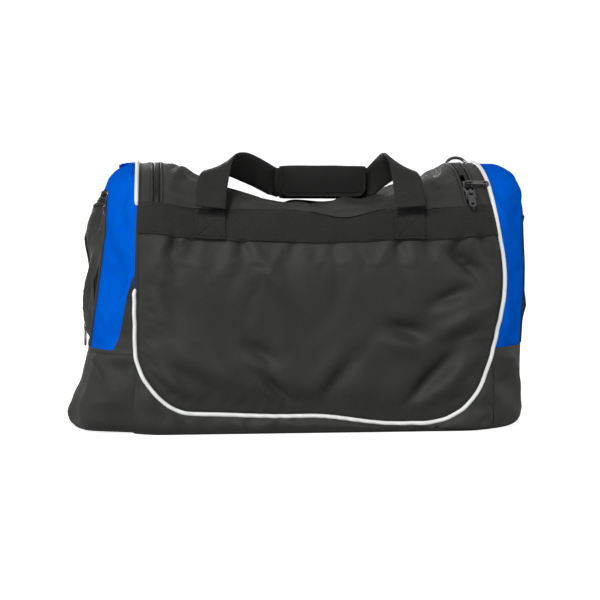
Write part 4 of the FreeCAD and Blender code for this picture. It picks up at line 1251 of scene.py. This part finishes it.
def top_path(offset, spacing=0.002, front=-1.0):
    """Points of the top along the lid's outline moved in by offset, behind a y on the right side."""
    plan = lid_outline(offset, spacing)
    keep = (plan[:, 0] < 0) | (plan[:, 1] > front)
    return on_top(plan[keep, 0], plan[keep, 1])


def end_path(side, offset, spacing=0.002, bay=False):
    """Points of an end along the pocket's outline moved in by offset; bay leaves out the parked slider."""
    plan = pocket_outline(offset, spacing)
    keep = (plan[:, 0] < BAY_Y) | (plan[:, 1] > BAY_Z) if bay else plan[:, 0] < 9
    return on_end(plan[keep, 0], plan[keep, 1], side)


def tape(name, edge_a, edge_b, depth):
    """Zip tape between two edges, set depth below the skin."""
    count = int(max(len(edge_a), len(edge_b)) / 1.5)
    a, b = resample(edge_a, count), resample(edge_b, count)
    rows = np.stack([dress(a + (b - a) * k, -depth) for k in np.linspace(0, 1, 4)])
    return thicken(sheet_object(name, [rows], THIN_CLOTH, outside=False))


def coil_teeth(name, path, reach, phase):
    """One side of a zip: a tooth every pitch, across the path."""
    track = even(dress(path, 0.0004), TOOTH / 4)
    plain = even(path, TOOTH / 4)[:len(track)]
    track = track[:len(plain)]
    up = outward(plain)
    across = unit(np.cross(along_path(track), up))
    pick = slice(int(4 * phase), None, 4)
    centre, side, rise = track[pick], across[pick], up[pick]
    return beads(name, centre - side * reach * 0.62, centre + side * reach * 0.62, rise, 0.00062, 0.00085)


def coil_cord(name, path, width):
    """The sewn root of a coil."""
    centre, across, up = trim_frame(even(path, 0.003), 0.0001)
    return sweep(name, centre, across, up, flat_profile(width, 0.0012))


def hem(name, path, width=0.0034, lift=0.0002):
    """Folded and sewn cloth edge beside a zip."""
    centre, across, up = trim_frame(even(path, 0.003), lift)
    return sweep(name, centre, across, up, flat_profile(width, 0.0019, bow=0.0005))


PARK_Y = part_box("main_slider_b")[1].y + 0.019      # in front of this the lid's coil ends
CHAIN = TAPE + LID_GAP / 2

main_tape = tape("main_zip_tape_cloth", top_path(0.0), top_path(TAPE), 0.0009)
place_piece(main_tape, TAPE_CLOTH, "zip_nylon", "root", "main_zip_tape")
main_teeth = coil_teeth("main_zip_teeth", top_path(CHAIN - TOOTH_ROW, FINE), MAIN_TOOTH, 0)
place_piece(main_teeth, COIL_NYLON, "zip_nylon", "root", "main_zip_coil")
main_cord = coil_cord("main_zip_cord", top_path(CHAIN - 0.0030), 0.0016)
place_piece(main_cord, COIL_NYLON, "zip_nylon", "root", "main_zip_coil")
main_hem = hem("main_zip_hem", top_path(-0.0008))
place_piece(main_hem, BLACK_CLOTH, "black_polyester", "root")

lid_tape = tape("lid_zip_tape_cloth", top_path(TAPE + LID_GAP, front=PARK_Y),
                top_path(2 * TAPE + LID_GAP, front=PARK_Y), 0.0009)
place_on_lid(lid_tape, TAPE_CLOTH, "zip_nylon", "lid_zip_tape")
lid_teeth = coil_teeth("lid_zip_teeth", top_path(CHAIN + TOOTH_ROW, FINE, PARK_Y), MAIN_TOOTH, 0.5)
place_on_lid(lid_teeth, COIL_NYLON, "zip_nylon", "lid_zip_coil")
lid_cord = coil_cord("lid_zip_cord", top_path(CHAIN + 0.0030, front=PARK_Y), 0.0016)
place_on_lid(lid_cord, COIL_NYLON, "zip_nylon", "lid_zip_coil")
lid_hem = hem("lid_zip_hem", top_path(2 * TAPE + LID_GAP + 0.0008))
place_on_lid(lid_hem, BLACK_CLOTH, "black_polyester")

POCKET_CHAIN = TAPE + POCKET_GAP / 2
for word, side in ENDS:
    fixed = tape(word + "_pocket_tape_cloth", end_path(side, 0.0), end_path(side, TAPE + 0.0008), 0.0008)
    place_piece(fixed, TAPE_CLOTH, "zip_nylon", "root", word + "_pocket_zip")
    teeth = coil_teeth(word + "_pocket_teeth", end_path(side, POCKET_CHAIN - TOOTH_ROW, FINE),
                       POCKET_TOOTH, 0)
    place_piece(teeth, COIL_NYLON, "zip_nylon", "root", word + "_pocket_zip")
    cord = coil_cord(word + "_pocket_cord", end_path(side, POCKET_CHAIN - 0.0031), 0.0017)
    place_piece(cord, COIL_NYLON, "zip_nylon", "root", word + "_pocket_zip")
    rim = hem(word + "_pocket_hem", end_path(side, -0.0012), 0.0046, 0.0008)
    place_piece(rim, BLACK_CLOTH, "black_polyester", "root")
    body = word + "_pocket_panel"
    moving = coil_teeth(word + "_pocket_flap_teeth", end_path(side, POCKET_CHAIN + TOOTH_ROW, FINE, True),
                        POCKET_TOOTH, 0.5)
    place_piece(moving, COIL_NYLON, "zip_nylon", body)
    moving_cord = coil_cord(word + "_pocket_flap_cord", end_path(side, POCKET_CHAIN + 0.0031, bay=True),
                            0.0017)
    place_piece(moving_cord, COIL_NYLON, "zip_nylon", body)
    edge = hem(word + "_pocket_flap_hem", end_path(side, TAPE + POCKET_GAP + 0.0035, bay=True),
               0.0046, 0.0008)
    place_piece(edge, BLACK_CLOTH, "black_polyester", body)


# ---------------------------------------------------------------- pocket linings and base

def lining(word, side):
    """Thin cloth pocket bag behind the zipped front."""
    outline = pocket_outline(-0.001, 0.006)
    low = GUSSET_LOW - 0.004
    bottom = [(y, low) for y in np.linspace(outline[-1, 0], outline[0, 0], 26)]
    rim = np.concatenate([outline, bottom, outline[:1]])
    mouth = dress(on_end(rim[:, 0], rim[:, 1], side), -0.0035)
    middle = np.array([(POCKET_BACK - POCKET_FRONT) / 2, 0.19])
    rows = [mouth]
    depths = ((0.35, 0.99), (0.7, 0.97), (0.95, 0.95), (1.0, 0.90), (1.0, 0.6), (1.0, 0.3), (1.0, 0.04))
    for depth, size in depths:
        flat = middle + (rim - middle) * size
        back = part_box(word + "_pocket_lining")[0 if side > 0 else 1].x
        row = points(mouth[:, 0] + (back - mouth[:, 0]) * depth, flat[:, 0], flat[:, 1])
        row[:, 0] -= side * 0.002 * rough(row, 0.03) * (depth > 0.5)
        rows.append(row)
    return thicken(sheet_object(word + "_pocket_bag", [np.stack(rows)], THIN_CLOTH))


for word, side in ENDS:
    place_piece(lining(word, side), LINING_CLOTH, "lining_polyester", "root", word + "_pocket_lining")


# ---------------------------------------------------------------- ring tabs

RING_Y, RING_Z = 0.090, 0.3285
TAB_INNER, TAB_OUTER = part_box("right_dring_tab")[0].x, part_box("right_dring_tab")[1].x
TAB_X = (TAB_INNER + TAB_OUTER) / 2


def ring_tab(word, side):
    """Webbing folded round a ring's bar, both ends sewn to the top."""
    def above_top(y, gap, rise, start, end):
        """(y, height) over the plain top by gap, and by rise more from start to end."""
        return y, math.sqrt(ARCH_R ** 2 - y ** 2) + ARCH_Z + gap + rise * float(smooth(start, end, y))

    turn = np.radians(np.linspace(75, -120, 16))
    bend = [(RING_Y + 0.0036 * math.cos(t), RING_Z + 0.0036 * math.sin(t)) for t in turn]
    upper = [above_top(y, 0.0032, 0.0026, 0.060, 0.088) for y in (0.050, 0.058, 0.066, 0.074, 0.082)]
    lower = [above_top(y, 0.0016, 0.0012, 0.070, 0.086) for y in (0.082, 0.074, 0.066, 0.056)]
    path = even(np.array([(side * TAB_X, y, z) for y, z in upper + bend + lower]), 0.0012)
    across = np.broadcast_to(np.array([1.0, 0, 0]), path.shape)
    face = np.cross(along_path(path), across)
    return sweep(word + "_ring_tab", path, across, face, flat_profile(TAB_OUTER - TAB_INNER, 0.0016))


for word, side in ENDS:
    place_piece(ring_tab(word, side), BLACK_WEBBING, "black_webbing", "root", word + "_dring_tab")


# ---------------------------------------------------------------- padded grip

def grip_sleeve():
    """Soft sleeve closed round the handle, pinched at its two ends."""
    low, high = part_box("grip_wrap")
    middle = (low + high) / 2
    half = (high - low) / 2
    rings, turns = 40, 36
    share = np.linspace(-1, 1, rings)
    turn = np.linspace(0, 2 * math.pi, turns, endpoint=False)
    end = np.abs(share) ** 10
    power = 2 / 2.8
    c, s = np.cos(turn), np.sin(turn)
    y = np.sign(c) * np.abs(c) ** power
    z = np.sign(s) * np.abs(s) ** power
    wide = half.y * (1 - 0.30 * end)
    tall = half.z * (1 - 0.05 * end)
    grid = points(middle.x + half.x * share[:, None], middle.y + wide[:, None] * y,
                  middle.z + tall[:, None] * z)
    grid[..., 1] += 0.0010 * rough(grid, 0.018) * (1 - end[:, None])
    grid[..., 2] += 0.0007 * rough(grid + 0.4, 0.022) * (1 - end[:, None])
    faces = tube_faces(rings, turns)
    size = np.stack(np.broadcast_arrays(share[:, None] * half.x, turn[None, :] * 0.016), axis=-1)
    obj = mesh_object("grip_sleeve", grid.reshape(-1, 3), faces, size.reshape(-1, 2))
    normals_outward(obj)
    return obj


FLAP_CORNER = 0.011


def flap_outline(inset):
    """(x, z) round the flap from its top left corner down, along and up, with round lower corners."""
    low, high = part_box("grip_flap")
    radius = FLAP_CORNER - inset
    x0, x1, z0, z1 = low.x + inset, high.x - inset, low.z + inset, high.z
    turn = np.linspace(0, math.pi / 2, 10)
    left = [(x0, z1)]
    left += [(x0 + radius * (1 - math.cos(t)), z0 + radius * (1 - math.sin(t))) for t in turn]
    right = [(x1 + x0 - x, z) for x, z in left[::-1]]
    return np.array(left + right)


def flap_face(x, z):
    """Front surface of the flap, slightly domed between its sewn edges."""
    low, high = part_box("grip_flap")
    u = (x - (low.x + high.x) / 2) / ((high.x - low.x) / 2)
    v = (z - (low.z + high.z) / 2) / ((high.z - low.z) / 2)
    dome = np.clip((1 - np.abs(u) ** 6) * (1 - np.abs(v) ** 4), 0, 1)
    p = points(x, low.y + 0.0006, z)
    p[..., 1] -= 0.0012 * dome + 0.0006 * dome * rough(p, 0.02)
    return p


def grip_flap():
    """The flap that fastens the sleeve, with a bound edge."""
    low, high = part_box("grip_flap")
    share = np.linspace(0, 1, 60)
    x = low.x + (high.x - low.x) * share
    near = np.clip(1 - np.minimum(x - low.x, high.x - x) / FLAP_CORNER, 0, 1)
    foot = low.z + FLAP_CORNER * (1 - np.sqrt(np.maximum(1 - near ** 2, 0)))
    z = high.z + (foot - high.z) * np.linspace(0, 1, 20)[:, None]
    grid = flap_face(np.broadcast_to(x, z.shape), z)
    return thicken(sheet_object("grip_flap_cloth", [grid], 0.0016, outside=False))


sleeve = grip_sleeve()
place_piece(sleeve, GRIP_CLOTH, "grip_padding", "front_handle", "grip_wrap")
flap_piece = grip_flap()
place_piece(flap_piece, GRIP_CLOTH, "grip_padding", "grip_flap", "grip_flap")
rim_path = flap_outline(0.0006)
rim_path = even(flap_face(rim_path[:, 0], rim_path[:, 1]), 0.002)
rim_up = np.broadcast_to(np.array([0, -1.0, 0]), rim_path.shape)
rim_across = unit(np.cross(along_path(rim_path), rim_up))
binding = sweep("grip_flap_binding", rim_path, rim_across, rim_up, flat_profile(0.0042, 0.0022, bow=0.0004))
place_piece(binding, BLACK_WEBBING, "black_webbing", "grip_flap")


# ---------------------------------------------------------------- stitches

def wall_row(x0, z0, x1, z1, side, lift):
    """Points of a straight row of stitches on a wall."""
    t = np.linspace(0, 1, 60)
    return dress(on_wall(x0 + (x1 - x0) * t, z0 + (z1 - z0) * t, side), lift)


def box_and_cross(x0, x1, z0, z1, side, lift):
    """A sewn box with its diagonals."""
    corners = [(x0, z0), (x1, z0), (x1, z1), (x0, z1), (x0, z0)]
    rows = list(zip(corners, corners[1:]))
    rows += [((x0, z0), (x1, z1)), ((x0, z1), (x1, z0))]
    for (a, b), (c, d) in rows:
        sew("root", wall_row(a, b, c, d, side, lift))


for side in (-1, 1):
    belt_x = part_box("front_band")[1].x - 0.002
    for z in (BELT_LOW + 0.0022, BELT_HIGH - 0.0030):
        x = np.linspace(-belt_x, belt_x, 220)
        sew("root", dress(on_wall(x, 0 * x + z, side), BELT_LIFT))
    for middle in (-HANDLE_X, HANDLE_X):
        box_and_cross(middle - 0.0165, middle + 0.0165, BELT_LOW + 0.0055, BELT_HIGH - 0.0055, side,
                      FOOT_LIFT)
sew("root", dress(top_path(-0.0032), STITCH_LIFT))
sew("lid", dress(top_path(2 * TAPE + LID_GAP + 0.0036), STITCH_LIFT))
for word, side in ENDS:
    sew("root", dress(end_path(side, -0.0045), 0.0004))
    sew(word + "_pocket_panel", dress(end_path(side, TAPE + POCKET_GAP + 0.0068, bay=True), 0.0004))
    edge = math.atan2(0.14, PIPE_X - HUB)
    ways = plan_turn(side, np.linspace(-edge, edge, 160))
    hub = points(side * HUB, 0, GUSSET_LOW - 0.004)
    sew("root", dress(cast(hub + 0 * ways, hub + ways), STITCH_LIFT))
    for y in (0.054, 0.072):
        across = np.linspace(side * TAB_X - 0.0105, side * TAB_X + 0.0105, 8)
        sew("root", on_top(across, y) + (0, 0, 0.0052))
line = piping_loop()
beside = unit(np.cross(along_path(line), outward(line)))
inwards = (0, 0, 0.16) + line * (0, 1, 0) - line
row = line + beside * 0.0050 * np.sign(np.sum(beside * inwards, axis=1, keepdims=True))
sew("root", dress(cast(line * (1, 0, 0) + (0, 0, 0.15), row), STITCH_LIFT))
border = flap_outline(0.0052)
sew("grip_flap", flap_face(border[:, 0], border[:, 1]) + (0, -0.0004, 0))

for body, rows in SEWN.items():
    starts, ends = (np.array(group) for group in zip(*rows))
    ups = outward(starts)
    thread = beads(body + "_stitches", starts + ups * 0.0002, ends + ups * 0.0002, ups,
                   THREAD_HALF, THREAD_RISE)
    if body == "lid":
        wear(thread, THREAD)
        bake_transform(thread)
    else:
        place_piece(thread, THREAD, "black_polyester", body)


# ---------------------------------------------------------------- carried-over hardware

METAL_NODES = (
    "left_dring", "right_dring", "left_hook_body", "right_hook_body",
    "left_hook_swivel", "right_hook_swivel", "left_hook_gate", "right_hook_gate",
    "main_slider_a", "main_slider_b", "main_pull_a", "main_pull_b",
    "left_pocket_slider", "right_pocket_slider", "left_pocket_pull", "right_pocket_pull",
)
for names, material in ((METAL_NODES, BLACK_METAL), (("strap_adjuster",), BLACK_PLASTIC),
                        (("base_board",), BOARD)):
    for name in names:
        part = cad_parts[name]
        part.material_slots[0].link = "OBJECT"
        part.material_slots[0].material = material


# ---------------------------------------------------------------- camera, floor and light

def add_object(name, data, place, direction):
    """Puts a light or camera in the scene, looking along a direction."""
    obj = bpy.data.objects.new(name, data)
    obj.location = place
    obj.rotation_euler = Vector(direction).to_track_quat("-Z", "Y").to_euler()
    bpy.context.scene.collection.objects.link(obj)
    return obj


def add_area(name, place, target, size, power):
    """Soft box light that looks at a target."""
    light = bpy.data.lights.new(name, "AREA")
    light.shape = "RECTANGLE"
    light.size, light.size_y = size
    light.energy = power
    add_object(name, light, place, Vector(target) - Vector(place))


def add_sun(name, direction, strength, spread):
    """Soft light from very far away, which lights the whole floor evenly."""
    light = bpy.data.lights.new(name, "SUN")
    light.energy = strength
    light.angle = math.radians(spread)
    add_object(name, light, (0, 0, 0), direction)


SENSOR = 36              # width of the camera's film, mm
VIEW_WIDTH = 0.750       # what the picture spans at the bag's front


def add_camera():
    """Camera in front, slightly to the left and just above the bag."""
    distance, azimuth, elevation = 2.15, math.radians(-5), math.radians(4.5)
    aim = Vector((0, 0, 0.157))
    away = Vector((math.sin(azimuth) * math.cos(elevation), -math.cos(azimuth) * math.cos(elevation),
                   math.sin(elevation)))
    data = bpy.data.cameras.new("camera")
    data.lens = SENSOR * (distance - BAG_Y) / VIEW_WIDTH
    bpy.context.scene.camera = add_object("camera", data, aim + away * distance, -away)


def add_floor():
    """Plain pale floor."""
    floor = mesh_object("floor", [(-9, -9, -0.0005), (9, -9, -0.0005), (9, 9, -0.0005), (-9, 9, -0.0005)],
                        [(0, 1, 2, 3)])
    material, nodes, links, shader = new_material("floor_paper")
    place = node(nodes, links, "ShaderNodeTexCoord").outputs["Object"]
    tone = mixed(nodes, links, noise(nodes, links, place, 3.0, 3.0), (0.60, 0.60, 0.60), (0.64, 0.64, 0.64))
    links.new(tone, shader.inputs["Base Color"])
    set_inputs(shader, {"Roughness": 0.9, "Emission Color": (1, 1, 1, 1)})
    seen = node(nodes, links, "ShaderNodeLightPath").outputs["Is Camera Ray"]
    links.new(maths(nodes, links, "MULTIPLY_ADD", seen, 0.80, 0.06), shader.inputs["Emission Strength"])
    floor.data.materials.append(material)


def add_world():
    """Even white surroundings."""
    world = bpy.data.worlds.new("studio")
    world.use_nodes = True
    nodes, links = world.node_tree.nodes, world.node_tree.links
    rays = node(nodes, links, "ShaderNodeLightPath").outputs
    lit = maths(nodes, links, "MULTIPLY_ADD", rays["Is Glossy Ray"], 0.45, 0.14)
    strength = maths(nodes, links, "MULTIPLY_ADD", rays["Is Camera Ray"], 0.96, lit)
    nodes["Background"].inputs[0].default_value = (1, 1, 1, 1)
    links.new(strength, nodes["Background"].inputs[1])
    bpy.context.scene.world = world
    bpy.context.scene.view_settings.view_transform = "Standard"


add_camera()
add_floor()
add_world()
add_sun("sky", (0.30, 0.76, -0.80), 1.9, 14)
add_area("key", (-1.8, -1.5, 1.2), (-0.1, 0, 0.15), (0.6, 0.6), 18)
add_area("behind", (-0.7, 2.4, 0.8), (0, 0, 0.15), (0.9, 0.9), 18)
add_area("fill", (2.1, -0.3, 0.7), (0.25, 0, 0.2), (0.5, 0.5), 9)
